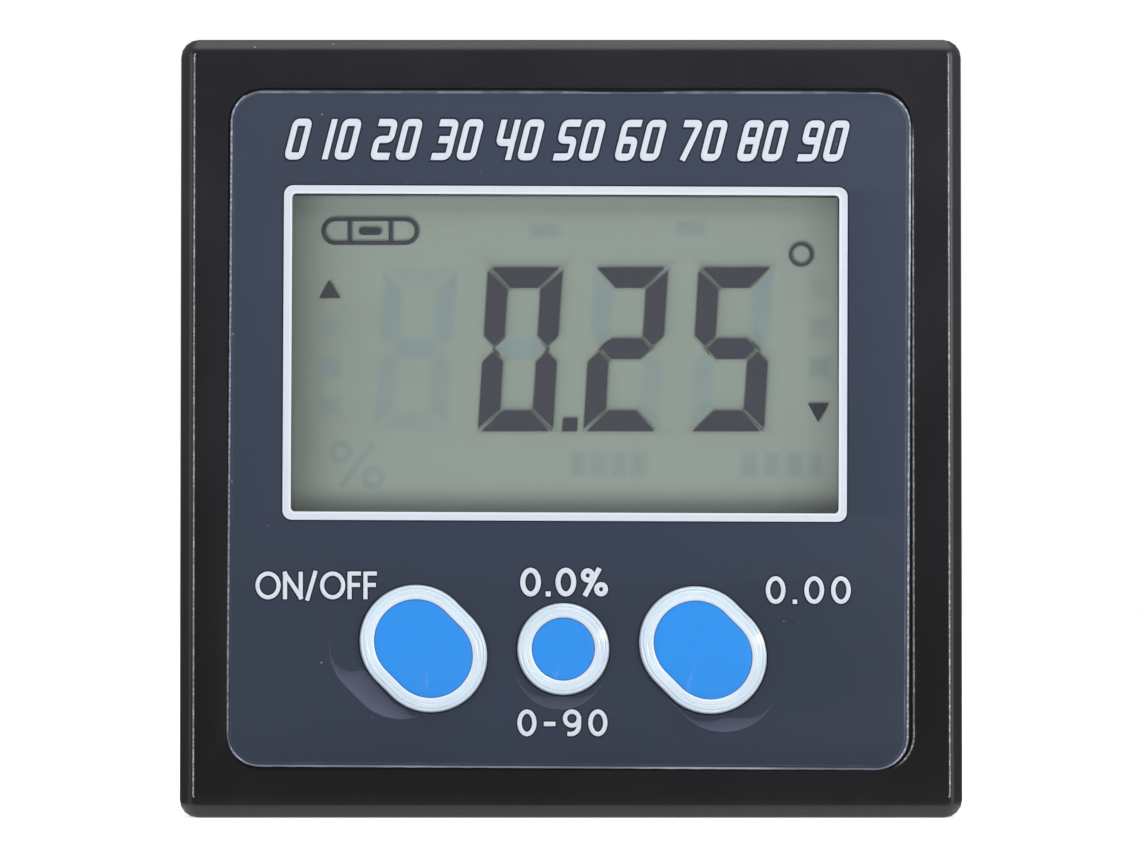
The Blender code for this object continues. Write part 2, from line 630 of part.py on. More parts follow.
def build_keys(rim_material, cap_material):
    """White keys with a rounded rim, and the blue cap set into each."""
    for side, x in KEY_X.items():
        outer = KEY_RADIUS[side]
        cap_radius = outer - KEY_RIM_WIDTH
        inner = cap_radius + CAP_FIT
        floor = KEY_TOP_Y + CAP_SET_IN + CAP_THICKNESS + BOND_GAP
        profile = [(0.0, floor), (inner, floor)]
        profile += rim_profile(outer, inner)
        profile += [
            (outer, FLANGE_FRONT_Y),
            (outer + KEY_FLANGE_WIDTH, FLANGE_FRONT_Y),
            (outer + KEY_FLANGE_WIDTH, KEY_FLANGE_BACK_Y),
            (KEY_STEM_RADIUS, KEY_FLANGE_BACK_Y),
            (KEY_STEM_RADIUS, KEY_STEM_BACK_Y),
            (0.0, KEY_STEM_BACK_Y),
        ]
        bm = turned(profile, ROUND_STEPS, KEY_STRETCH[side])
        piece(f"key_{side}", bm, (x, 0, KEY_ROW_HEIGHT), rim_material)

        top = KEY_TOP_Y + CAP_SET_IN
        profile = [
            (0.0, top),
            (cap_radius - CAP_EDGE, top),
            (cap_radius, top + CAP_EDGE),
            (cap_radius, top + CAP_THICKNESS),
            (0.0, top + CAP_THICKNESS),
        ]
        bm = turned(profile, ROUND_STEPS, KEY_STRETCH[side])
        piece(f"key_cap_{side}", bm, (x, 0, KEY_ROW_HEIGHT), cap_material)


def build_switches(body_material, plunger_material):
    """Push switch behind each key, with the plunger that the key's stem rests on."""
    middle = (SWITCH_FRONT_Y + SWITCH_BACK_Y) / 2
    cover = SWITCH_FRONT_Y + SWITCH_COVER
    floor = SWITCH_BACK_Y - SWITCH_FLOOR
    bore = PLUNGER_RADIUS + PLUNGER_GAP
    pocket = PLUNGER_RADIUS + PLUNGER_FLANGE_WIDTH + PLUNGER_GAP
    for side, x in KEY_X.items():
        bm = block(SWITCH_WIDTH, SWITCH_HEIGHT, SWITCH_WIDTH, SWITCH_COVER, steps=1)
        body = piece(f"switch_{side}", bm, (x, middle, KEY_ROW_HEIGHT), body_material)
        profile = [
            (0.0, SWITCH_FRONT_Y - THROUGH),
            (bore, SWITCH_FRONT_Y - THROUGH),
            (bore, cover),
            (pocket, cover),
            (pocket, floor),
            (0.0, floor),
        ]
        bm = turned(profile, SMALL_STEPS)
        cut(body, tool(f"switch_bore_{side}", bm, (x, 0, KEY_ROW_HEIGHT)))
        flange = PLUNGER_RADIUS + PLUNGER_FLANGE_WIDTH
        profile = [
            (0.0, PLUNGER_TOP_Y),
            (PLUNGER_RADIUS, PLUNGER_TOP_Y),
            (PLUNGER_RADIUS, PLUNGER_FLANGE_Y),
            (flange, PLUNGER_FLANGE_Y),
            (flange, PLUNGER_FLANGE_Y + PLUNGER_FLANGE),
            (0.0, PLUNGER_FLANGE_Y + PLUNGER_FLANGE),
        ]
        bm = turned(profile, SMALL_STEPS)
        piece(f"plunger_{side}", bm, (x, 0, KEY_ROW_HEIGHT), plunger_material)


def build_board(board, chip, metal, can):
    """Circuit board with its corner notches, and the larger parts on its back."""
    half = INNER_WIDTH / 2 - BOARD_EDGE_GAP
    bm, centre = span(
        -half, half, BOARD_FRONT_Y, BOARD_BACK_Y, INNER_BOTTOM + BOARD_EDGE_GAP,
        INNER_TOP - BOARD_EDGE_GAP,
    )
    plate = piece("circuit_board", bm, centre, board)
    front, back = BOARD_FRONT_Y - THROUGH, BOARD_BACK_Y + THROUGH
    for number, (x, z) in enumerate(COVER_SCREWS, 1):
        reach = 2 * BOSS_RADIUS
        inner_x = x - math.copysign(BOSS_RADIUS + BOARD_EDGE_GAP, x)
        inner_z = z + math.copysign(BOSS_RADIUS + BOARD_EDGE_GAP, WINDOW_Z - z)
        outer_x = x + math.copysign(reach, x)
        outer_z = z - math.copysign(reach, WINDOW_Z - z)
        cut(
            plate,
            box_tool(
                f"corner_notch_{number}", min(inner_x, outer_x), max(inner_x, outer_x),
                front, back, min(inner_z, outer_z), max(inner_z, outer_z), CAVITY_CORNER,
            ),
        )
    for number, (x, z) in enumerate(BOARD_SCREWS, 1):
        radius = BOARD_SCREW_RADIUS + 2 * SCREW_GAP
        cut(plate, pillar(f"board_hole_{number}", radius, front, back, x, z))

    y = PARTS_FRONT_Y + CHIP_HEIGHT / 2
    bm = block(CHIP_WIDTH, CHIP_HEIGHT, CHIP_WIDTH)
    piece("controller_chip", bm, (CHIP_OFFSET, y, CHIP_Z), chip)
    y = PARTS_FRONT_Y + SENSOR_HEIGHT / 2
    bm = block(SENSOR_WIDTH, SENSOR_HEIGHT, SENSOR_WIDTH)
    piece("tilt_sensor", bm, (SENSOR_OFFSET, y, CHIP_Z), chip)
    y = PARTS_FRONT_Y + CRYSTAL_RADIUS
    bm = rod(CRYSTAL_RADIUS, CRYSTAL_LENGTH, "X")
    z = CHIP_Z - CRYSTAL_BELOW_CHIP
    piece("clock_crystal", bm, (CHIP_OFFSET, y, z), metal)
    y = PARTS_FRONT_Y + CAPACITOR_HEIGHT / 2
    bm = rod(CAPACITOR_RADIUS, CAPACITOR_HEIGHT, "Y")
    piece("power_capacitor", bm, (CAPACITOR_OFFSET, y, CAPACITOR_Z), can)


def screw(name, x, z, seat, shank, head, material):
    """A pan-head screw with a cross drive, its head's underside at the seat."""
    radius, length = shank
    head_radius, head_height = head
    profile = [
        (0.0, seat - length),
        (radius * SCREW_TIP, seat - length),
        (radius, seat - length + radius * SCREW_TAPER),
        (radius, seat),
        (head_radius, seat),
        (head_radius, seat + head_height * HEAD_SHOULDER),
        (head_radius * HEAD_TOP, seat + head_height),
        (0.0, seat + head_height),
    ]
    body = piece(name, turned(profile, SMALL_STEPS), (x, 0, z), material)
    reach = head_radius * DRIVE_REACH
    arm = DRIVE_WIDTH / 2
    top = seat + head_height
    depth = min(DRIVE_DEPTH, head_height * HEAD_SHOULDER)
    cut(
        body,
        box_tool(
            f"{name}_slot_across", x - reach, x + reach, top - depth, top + THROUGH,
            z - arm, z + arm,
        ),
        box_tool(
            f"{name}_slot_down", x - arm, x + arm, top - depth, top + THROUGH,
            z - reach, z + reach,
        ),
    )


def build_screws(material):
    """Screws of the rear cover and of the circuit board."""
    seat = COVER_BACK_Y - COVER_HEAD_HEIGHT
    for number, (x, z) in enumerate(COVER_SCREWS, 1):
        shank = (COVER_SCREW_RADIUS, COVER_SCREW_LENGTH)
        head = (COVER_HEAD_RADIUS, COVER_HEAD_HEIGHT - SCREW_GAP)
        screw(f"cover_screw_{number}", x, z, seat, shank, head, material)
    for number, (x, z) in enumerate(BOARD_SCREWS, 1):
        shank = (BOARD_SCREW_RADIUS, BOARD_SCREW_LENGTH)
        head = (BOARD_HEAD_RADIUS, BOARD_HEAD_HEIGHT)
        screw(f"board_screw_{number}", x, z, BOARD_BACK_Y + BOND_GAP, shank, head, material)


def hook_places():
    """Centres of the door's two hooks, across the case."""
    return (-HOOK_SPACING / 2, HOOK_SPACING / 2)


def tray_hollow():
    """The tray's inside: two round cradles side by side under an open mouth."""
    bm = bmesh.new()
    outline = []
    for name in ("lower", "upper"):
        meet = math.acos(min(CELL_PITCH / 2 / CRADLE_RADIUS, 1.0))
        first = -math.pi if name == "lower" else meet - math.pi
        last = -meet if name == "lower" else 0.0
        steps = ROUND_STEPS // 2
        for step in range(steps + 1):
            angle = first + (last - first) * step / steps
            if name == "upper" and step == 0:
                continue
            y = CELL_Y + CRADLE_RADIUS * math.sin(angle)
            z = CELL_Z[name] + CRADLE_RADIUS * math.cos(angle)
            outline.append((y, z))
    outline.append((COVER_BACK_Y + THROUGH, TRAY_TOP))
    outline.append((COVER_BACK_Y + THROUGH, TRAY_BOTTOM))
    left = -TRAY_LENGTH / 2
    face = bm.faces.new([bm.verts.new((left, y, z)) for y, z in outline])
    grown = bmesh.ops.extrude_face_region(bm, geom=[face])
    moved = [item for item in grown["geom"] if isinstance(item, bmesh.types.BMVert)]
    bmesh.ops.translate(bm, vec=(TRAY_LENGTH, 0, 0), verts=moved)
    bmesh.ops.recalc_face_normals(bm, faces=bm.faces)
    return tool("tray_hollow", bm, (0, 0, 0))


def build_cover(material):
    """Rear cover with the battery tray moulded on, the door's recess and screw holes."""
    half = INNER_WIDTH / 2 - COVER_EDGE_GAP
    bm, centre = span(
        -half, half, COVER_FRONT_Y, COVER_BACK_Y, INNER_BOTTOM + COVER_EDGE_GAP,
        INNER_TOP - COVER_EDGE_GAP, CAVITY_CORNER,
    )
    cover = piece("rear_cover", bm, centre, material)
    end = TRAY_LENGTH / 2 + TRAY_END_WALL
    wall = TRAY_WALL
    inside = COVER_FRONT_Y + COVER_THICKNESS / 4
    join(
        cover,
        box_tool(
            "tray_block", -end, end, TRAY_FRONT_Y, inside, TRAY_BOTTOM - wall,
            TRAY_TOP + wall, 2 * wall, "X",
        ),
    )
    outside = COVER_BACK_Y + THROUGH
    door = DOOR_WIDTH / 2 + DOOR_GAP
    cut(
        cover,
        tray_hollow(),
        box_tool(
            "door_recess", -door, door, DOOR_FRONT_Y - DOOR_GAP, outside,
            DOOR_BOTTOM - DOOR_GAP, DOOR_TOP + DOOR_GAP, CAVITY_CORNER,
        ),
    )
    left = -TRAY_LENGTH / 2
    cut(
        cover,
        box_tool(
            "bridge_seat", left - BOND_GAP, left + CONTACT_THICKNESS + 3 * BOND_GAP,
            CELL_Y - CONTACT_DEPTH / 2 - CONTACT_SLOT_GAP, CELL_Y + THROUGH,
            CELL_Z["lower"], CELL_Z["upper"],
        ),
    )
    for number, x in enumerate(hook_places(), 1):
        side = HOOK_WIDTH / 2 + DOOR_GAP
        depth = HOOK_THICKNESS + HOOK_REACH + 2 * DOOR_GAP
        cut(
            cover,
            box_tool(
                f"hook_slot_{number}", x - side, x + side, DOOR_FRONT_Y - depth,
                DOOR_FRONT_Y, DOOR_BOTTOM - HOOK_REACH - DOOR_GAP, TRAY_BOTTOM + THROUGH,
            ),
        )
    side = LATCH_WIDTH / 2 + DOOR_GAP
    cut(
        cover,
        box_tool(
            "latch_slot", -side, side, DOOR_FRONT_Y - LATCH_DEPTH - DOOR_GAP,
            DOOR_FRONT_Y, TRAY_TOP - THROUGH, LATCH_TOP + 2 * DOOR_GAP,
        ),
    )
    notch = rod(NOTCH_RADIUS, 2 * NOTCH_DEPTH, "Y", ROUND_STEPS)
    z = DOOR_TOP + NOTCH_REACH - NOTCH_RADIUS
    cut(cover, tool("finger_notch", notch, (0, COVER_BACK_Y, z)))
    for number, (x, z) in enumerate(COVER_SCREWS, 1):
        hole = COVER_SCREW_RADIUS + 2 * SCREW_GAP
        head = COVER_HEAD_RADIUS + SCREW_GAP
        floor = COVER_BACK_Y - COVER_HEAD_HEIGHT - SCREW_GAP
        cut(
            cover,
            pillar(f"cover_hole_{number}", hole, COVER_FRONT_Y - THROUGH, outside, x, z),
            pillar(f"cover_counterbore_{number}", head, floor, outside, x, z),
        )
    for name, x, z, width in contact_places():
        slot = CONTACT_THICKNESS / 2 + CONTACT_SLOT_GAP
        tab = CONTACT_TAB_WIDTH / 2 + CONTACT_SLOT_GAP
        cut(
            cover,
            box_tool(
                f"{name}_slot", x - slot, x + slot, TRAY_FRONT_Y - THROUGH, CELL_Y,
                z - tab, z + tab,
            ),
        )


def build_door(material):
    """Battery door: two hooks below, a springy latch above and a ribbed thumb grip."""
    half = DOOR_WIDTH / 2
    hinge = Vector((0, COVER_BACK_Y, DOOR_BOTTOM))
    bm, centre = span(
        -half, half, DOOR_FRONT_Y, COVER_BACK_Y, DOOR_BOTTOM, DOOR_TOP, CAVITY_CORNER
    )
    bmesh.ops.translate(bm, vec=centre - hinge, verts=bm.verts)
    door = piece("battery_door", bm, hinge, material)
    for number, x in enumerate(hook_places(), 1):
        side = HOOK_WIDTH / 2
        depth = HOOK_THICKNESS + DOOR_GAP
        join(
            door,
            box_tool(
                f"hook_{number}", x - side, x + side, DOOR_FRONT_Y - depth - DOOR_GAP,
                DOOR_FRONT_Y + DOOR_THICKNESS / 4, DOOR_BOTTOM + DOOR_GAP,
                TRAY_BOTTOM + CELL_GAP,
            ),
            box_tool(
                f"hook_toe_{number}", x - side, x + side, DOOR_FRONT_Y - depth - DOOR_GAP,
                DOOR_FRONT_Y - 2 * DOOR_GAP, DOOR_BOTTOM - HOOK_REACH + DOOR_GAP,
                TRAY_BOTTOM,
            ),
        )
    side = LATCH_WIDTH / 2
    join(
        door,
        box_tool(
            "latch", -side, side, DOOR_FRONT_Y - LATCH_DEPTH,
            DOOR_FRONT_Y + DOOR_THICKNESS / 4, LATCH_BOTTOM, LATCH_TOP,
        ),
    )
    for number in range(GRIP_RIBS):
        z = DOOR_TOP - GRIP_PITCH * (number + 1)
        groove = rod(GRIP_DEPTH, GRIP_WIDTH, "X", GRIP_STEPS)
        cut(door, tool(f"grip_groove_{number + 1}", groove, (0, COVER_BACK_Y, z)))


def build_cells(material):
    """Two AAA cells, the upper one with its button to the right."""
    barrel = CELL_LENGTH - CELL_BUTTON
    edge = CELL_EDGE
    profile = [
        (0.0, -CELL_LENGTH / 2),
        (CELL_BUTTON_RADIUS, -CELL_LENGTH / 2),
        (CELL_BUTTON_RADIUS, CELL_BUTTON - CELL_LENGTH / 2),
        (CELL_RADIUS - edge, CELL_BUTTON - CELL_LENGTH / 2),
        (CELL_RADIUS, CELL_BUTTON + edge - CELL_LENGTH / 2),
        (CELL_RADIUS, CELL_BUTTON + barrel - edge - CELL_LENGTH / 2),
        (CELL_RADIUS - edge, CELL_LENGTH / 2),
        (0.0, CELL_LENGTH / 2),
    ]
    slack = TRAY_LENGTH / 2 - 2 * BOND_GAP - CONTACT_THICKNESS - CELL_LENGTH / 2
    for name, turn in (("upper", 1), ("lower", -1)):
        bm = turned(profile, ROUND_STEPS)
        matrix = Matrix.Rotation(turn * math.pi / 2, 3, "Z")
        bmesh.ops.rotate(bm, cent=(0, 0, 0), matrix=matrix, verts=bm.verts)
        piece(f"cell_{name}", bm, (turn * slack, CELL_Y, CELL_Z[name]), material)


def contact_places():
    """Name, place and width of the two contact plates with a lead, on the right."""
    return (
        ("contact_plate_upper", CONTACT_X, CELL_Z["upper"], CONTACT_WIDTH),
        ("contact_plate_lower", CONTACT_X, CELL_Z["lower"], CONTACT_WIDTH),
    )


def build_contacts(material):
    """Contact plates at the cells' ends, with a coil spring at each negative end."""
    thick = CONTACT_THICKNESS / 2
    back = CELL_Y + CONTACT_DEPTH / 2
    front = CELL_Y - CONTACT_DEPTH / 2
    for name, x, z, width in contact_places():
        bm, centre = span(x - thick, x + thick, front, back, z - width / 2, z + width / 2)
        plate = piece(name, bm, centre, material)
        tab = CONTACT_TAB_WIDTH / 2
        join(
            plate,
            box_tool(
                f"{name}_tab", x - thick, x + thick, TRAY_FRONT_Y - CONTACT_TAB_LENGTH,
                CELL_Y, z - tab, z + tab,
            ),
        )
    bridge = (CELL_PITCH + CONTACT_WIDTH) / 2
    bm, centre = span(
        -CONTACT_X - thick, -CONTACT_X + thick, front, back,
        TRAY_Z - bridge, TRAY_Z + bridge,
    )
    piece("contact_bridge", bm, centre, material)
    room = TRAY_LENGTH - CELL_LENGTH - 3 * BOND_GAP - 2 * CONTACT_THICKNESS
    for name, side in (("upper", -1), ("lower", 1)):
        base = side * (CONTACT_X - thick - BOND_GAP - SPRING_WIRE_RADIUS)
        length = room - 2 * BOND_GAP - 2 * SPRING_WIRE_RADIUS
        points = []
        count = SPRING_TURNS * SPRING_STEPS
        for step in range(count + 1):
            share = step / count
            angle = 2 * math.pi * step / SPRING_STEPS
            radius = SPRING_BASE_RADIUS + share * (SPRING_TIP_RADIUS - SPRING_BASE_RADIUS)
            points.append(
                (
                    base - side * share * length,
                    CELL_Y + radius * math.cos(angle),
                    CELL_Z[name] + radius * math.sin(angle),
                )
            )
        wire(f"contact_spring_{name}", points, SPRING_WIRE_RADIUS, material)


def wire(name, points, radius, material):
    """A round wire through points, with closed ends."""
    curve = bpy.data.curves.new(name, "CURVE")
    curve.dimensions = "3D"
    curve.bevel_depth = radius
    curve.bevel_resolution = 2
    curve.use_fill_caps = True
    spline = curve.splines.new("POLY")
    spline.points.add(len(points) - 1)
    origin = Vector(points[0])
    for point, place in zip(spline.points, points):
        point.co = (*(Vector(place) - origin), 1.0)
    obj = bpy.data.objects.new(name, curve)
    obj.location = origin
    PARTS.objects.link(obj)
    curve.materials.append(material)
    return obj


def bezier(a, b, c, d, steps):
    """Points along a smooth curve from a to d."""
    points = []
    for step in range(steps + 1):
        t = step / steps
        s = 1.0 - t
        points.append(a * s**3 + b * (3 * s * s * t) + c * (3 * s * t * t) + d * t**3)
    return points


def build_leads(red, black):
    """Leads from the contact plates' tabs to the board."""
    materials = {"upper": red, "lower": black}
    names = {"upper": "lead_positive", "lower": "lead_negative"}
    for name, x, z, width in contact_places():
        end = name.rsplit("_", 1)[1]
        start_y = TRAY_FRONT_Y - CONTACT_TAB_LENGTH - BOND_GAP - LEAD_RADIUS
        start = Vector((x, start_y, z))
        pad = Vector((x - LEAD_PAD_INSET, PARTS_FRONT_Y + LEAD_RADIUS, z))
        reach = Vector((0, (start.y - pad.y) / 2, 0))
        leave = start - reach
        arrive = pad + reach
        points = bezier(start, leave, arrive, pad, LEAD_STEPS)
        wire(names[end], points, LEAD_RADIUS, materials[end])


def build_gauge():
    """Build every piece of the gauge."""
    black_case = finish("black_case", (0.022, 0.022, 0.024), 0.45)
    cover_black = finish("cover_black", (0.02, 0.02, 0.021), 0.5)
    blue_grey_film = finish("blue_grey_film", (0.054, 0.065, 0.102), 0.3)
    clear = finish("clear", (0.75, 0.8, 0.78), 0.05)
    display_green = finish("display_green", (0.28, 0.34, 0.29), 0.3)
    white = finish("white", (0.75, 0.79, 0.9), 0.2)
    blue = finish("blue", (0.045, 0.31, 0.85), 0.35)
    board_green = finish("board_green", (0.02, 0.14, 0.05), 0.4)
    chip_black = finish("chip_black", (0.01, 0.01, 0.011), 0.5)
    rubber_grey = finish("rubber_grey", (0.08, 0.08, 0.085), 0.8)
    steel = finish("steel", (0.55, 0.55, 0.56), 0.3, 1.0)
    nickel = finish("nickel", (0.66, 0.64, 0.6), 0.25, 1.0)
    cell_wrap = finish("cell_wrap", (0.3, 0.31, 0.33), 0.35)
    red = finish("red", (0.5, 0.01, 0.01), 0.5)

    build_housing(black_case)
    build_magnets(nickel)
    build_overlay(blue_grey_film)
    build_lens(clear)
    build_display(clear, display_green, chip_black, rubber_grey)
    build_keys(white, blue)
    build_switches(chip_black, steel)
    build_board(board_green, chip_black, steel, steel)
    build_screws(steel)
    build_cover(cover_black)
    build_door(cover_black)
    build_cells(cell_wrap)
    build_contacts(nickel)
    build_leads(red, chip_black)


build_gauge()
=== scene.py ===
"""Looks of the digital angle gauge: finishes, print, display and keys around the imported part.

The gauge stands on its base, +Z up, with its face towards -Y. All lengths are in metres.
Positions on the face are measured from the middle of the base: x to the right, z up.
"""

import json
import logging
import math
from dataclasses import dataclass, field
from enum import Enum
from typing import Iterable, Optional, Sequence

import bmesh
import bpy
from mathutils import Matrix, Vector


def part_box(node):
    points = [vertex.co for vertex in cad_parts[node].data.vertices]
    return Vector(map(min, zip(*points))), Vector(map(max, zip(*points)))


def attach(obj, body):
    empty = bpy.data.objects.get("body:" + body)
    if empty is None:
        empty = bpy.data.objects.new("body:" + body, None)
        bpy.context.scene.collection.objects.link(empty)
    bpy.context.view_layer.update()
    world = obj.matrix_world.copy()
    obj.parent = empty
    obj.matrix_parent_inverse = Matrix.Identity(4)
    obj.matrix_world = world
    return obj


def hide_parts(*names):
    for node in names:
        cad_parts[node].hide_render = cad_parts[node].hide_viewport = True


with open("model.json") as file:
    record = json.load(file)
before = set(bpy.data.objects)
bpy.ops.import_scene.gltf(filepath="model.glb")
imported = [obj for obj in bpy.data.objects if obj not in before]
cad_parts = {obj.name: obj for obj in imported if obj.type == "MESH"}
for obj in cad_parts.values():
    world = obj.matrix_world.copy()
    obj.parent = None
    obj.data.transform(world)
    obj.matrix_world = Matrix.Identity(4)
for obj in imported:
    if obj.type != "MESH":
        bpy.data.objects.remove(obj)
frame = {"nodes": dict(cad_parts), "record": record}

LOG = logging.getLogger("gauge")
MM = 0.001
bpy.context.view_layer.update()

Point = tuple[float, float]
Loop = list[Point]
Triple = tuple[float, float, float]
Colour = Triple
Grid = list[list[Triple]]
BLACK: Colour = (0.0, 0.0, 0.0)
WHITE: Colour = (1.0, 1.0, 1.0)

Node = bpy.types.Node
Socket = bpy.types.NodeSocket
Sockets = bpy.types.bpy_prop_collection
Material = bpy.types.Material
Piece = bpy.types.Object
Bmesh = bmesh.types.BMesh

SCALAR = "NodeSocketFloat"
VECTOR = "NodeSocketVector"


def srgb(red: float, green: float, blue: float) -> Colour:
    """Turn a colour as seen on a screen, 0 to 255, into linear light.

    Args:
        red: Red share, 0 to 255.
        green: Green share, 0 to 255.
        blue: Blue share, 0 to 255.

    Returns:
        The same colour in linear light, 0 to 1.
    """

    def line(value: float) -> float:
        """Linear light of one share."""
        share = value / 255.0
        return share / 12.92 if share <= 0.04045 else ((share + 0.055) / 1.055) ** 2.4

    return (line(red), line(green), line(blue))


# Shader nodes


class Graph:
    """Adds nodes to one tree and joins their sockets."""

    def __init__(self, tree: bpy.types.NodeTree) -> None:
        """Work on a tree."""
        self.tree = tree

    def node(self, kind: str, **settings: object) -> Node:
        """Add a node and set its plain properties.

        Args:
            kind: The node's type name.
            **settings: Properties to set on it.

        Returns:
            The new node.
        """
        made = self.tree.nodes.new(kind)
        for key, value in settings.items():
            setattr(made, key, value)
        return made

    def feed(self, socket: Socket, value: object) -> None:
        """Join a socket to another one, or give it a plain value.

        Args:
            socket: The input to fill.
            value: Another socket, or a number, colour or vector.
        """
        if isinstance(value, Socket):
            self.tree.links.new(value, socket)
        elif isinstance(value, tuple) and len(value) == 3 and len(socket.default_value) == 4:
            socket.default_value = (*value, 1.0)
        else:
            socket.default_value = value

    def fill(self, made: Node, feeds: dict) -> None:
        """Fill a node's inputs, by their names or numbers."""
        for name, value in feeds.items():
            self.feed(made.inputs[name], value)

    def wired(self, kind: str, feeds: dict, **settings: object) -> Node:
        """Add a node and fill its inputs.

        Args:
            kind: The node's type name.
            feeds: What goes into each input, by the input's name or number.
            **settings: Properties to set on it.

        Returns:
            The new node.
        """
        made = self.node(kind, **settings)
        self.fill(made, feeds)
        return made

    def math(
        self, operation: str, first: object, second: object = 0.0, third: object = 0.0
    ) -> Socket:
        """Add a Math node.

        Args:
            operation: What it does, such as "MULTIPLY".
            first: First value or socket.
            second: Second value or socket.
            third: Third value or socket.

        Returns:
            The result's socket.
        """
        feeds = {0: first, 1: second, 2: third}
        return self.wired("ShaderNodeMath", feeds, operation=operation).outputs[0]

    def product(self, first: object, second: object) -> Socket:
        """Two values multiplied."""
        return self.math("MULTIPLY", first, second)

    def fade(self, value: object, low: float, high: float) -> Socket:
        """Smooth step: 0 below low and 1 above high, or the other way where high is less.

        Args:
            value: What is compared.
            low: Where the result is 0.
            high: Where the result is 1.

        Returns:
            The result's socket.
        """
        ends = (high, low, 1.0, 0.0) if high < low else (low, high, 0.0, 1.0)
        feeds = dict(zip(("Value", "From Min", "From Max", "To Min", "To Max"), (value, *ends)))
        made = self.wired("ShaderNodeMapRange", feeds, interpolation_type="SMOOTHSTEP")
        return made.outputs["Result"]

    def mix(self, share: object, first: object, second: object) -> Socket:
        """Mix two colours.

        Args:
            share: How much of the second.
            first: First colour or socket.
            second: Second colour or socket.

        Returns:
            The mixed colour's socket.
        """
        feeds = {"Factor": share, 6: first, 7: second}
        return self.wired("ShaderNodeMix", feeds, data_type="RGBA").outputs[2]

    def noise(
        self, vector: object, scale: object, detail: float = 2.0, rough: float = 0.5
    ) -> Socket:
        """Noise value around 0.5.

        Args:
            vector: Where it is read.
            scale: Waves per metre.
            detail: Finer waves on top.
            rough: How strong those are.

        Returns:
            The value's socket.
        """
        feeds = {"Vector": vector, "Scale": scale, "Detail": detail, "Roughness": rough}
        return self.wired("ShaderNodeTexNoise", feeds).outputs["Fac"]

    def mark(self, name: str) -> Socket:
        """A value that the mesh's points carry."""
        return self.node("ShaderNodeAttribute", attribute_name=name).outputs["Fac"]

    def axes(self, vector: object) -> tuple[Socket, ...]:
        """The three shares of a vector."""
        return tuple(self.wired("ShaderNodeSeparateXYZ", {0: vector}).outputs)


class Surface(Graph):
    """A new material's graph, with its shader and the place on the piece in metres."""

    def __init__(self, name: str) -> None:
        """Start the material.

        Args:
            name: The material's name.
        """
        self.material = bpy.data.materials.new(name)
        self.material.use_nodes = True
        super().__init__(self.material.node_tree)
        self.shader = self.tree.nodes["Principled BSDF"]
        self.place = self.node("ShaderNodeTexCoord").outputs["Object"]

    def shade(self, feeds: dict) -> None:
        """Fill the shader's inputs."""
        self.fill(self.shader, feeds)


class Effect:
    """A shader node group that more than one finish uses."""

    def __init__(self, name: str, values: dict[str, float], results: Sequence[str]) -> None:
        """Start the group with its named sockets.

        Args:
            name: The group's name.
            values: The inputs beside the place, each with its usual value.
            results: Names of the values that it gives.
        """
        self.tree = bpy.data.node_groups.new(name, "ShaderNodeTree")
        face = self.tree.interface
        face.new_socket("Vector", in_out="INPUT", socket_type=VECTOR)
        for label, value in values.items():
            face.new_socket(label, in_out="INPUT", socket_type=SCALAR).default_value = value
        for label in results:
            face.new_socket(label, in_out="OUTPUT", socket_type=SCALAR)
        self.graph = Graph(self.tree)
        self.source = self.graph.node("NodeGroupInput").outputs
        self.sink = self.graph.node("NodeGroupOutput").inputs

    def place_in(self, graph: Graph, **values: object) -> Sockets:
        """Put the group into a material.

        Args:
            graph: The material's graph.
            **values: Inputs by name, with spaces as underscores.

        Returns:
            What the group gives.
        """
        feeds = {key.replace("_", " "): value for key, value in values.items()}
        return graph.wired("ShaderNodeGroup", feeds, node_tree=self.tree).outputs


def grain_effect() -> Effect:
    """Fine moulding grain with broad, faint changes of tone.

    Returns:
        The group.
    """
    effect = Effect("moulding_grain", {"Fineness": 6000.0, "Patches": 90.0}, ("Height", "Tone"))
    graph, give, sink = effect.graph, effect.source, effect.sink
    fine = graph.noise(give["Vector"], give["Fineness"], 3.0, 0.6)
    broad = graph.noise(give["Vector"], give["Patches"], 3.0, 0.55)
    graph.feed(sink["Height"], fine)
    graph.feed(sink["Tone"], graph.math("MULTIPLY_ADD", broad, 0.8, graph.product(fine, 0.2)))
    return effect


def dust_effect() -> Effect:
    """Sparse specks of dust and fine lint.

    Returns:
        The group.
    """
    clean_share = 0.62
    effect = Effect("settled_dust", {"Spacing": 900.0, "Size": 0.06}, ("Mask",))
    graph, give = effect.graph, effect.source
    feeds = {"Vector": give["Vector"], "Scale": give["Spacing"]}
    cells = graph.wired("ShaderNodeTexVoronoi", feeds)
    size, chance, _ = graph.axes(cells.outputs["Color"])
    reach = graph.product(graph.math("POWER", size, 3.0), give["Size"])
    speck = graph.math("LESS_THAN", cells.outputs["Distance"], reach)
    chosen = graph.math("GREATER_THAN", chance, clean_share)
    graph.feed(effect.sink["Mask"], graph.product(speck, chosen))
    return effect


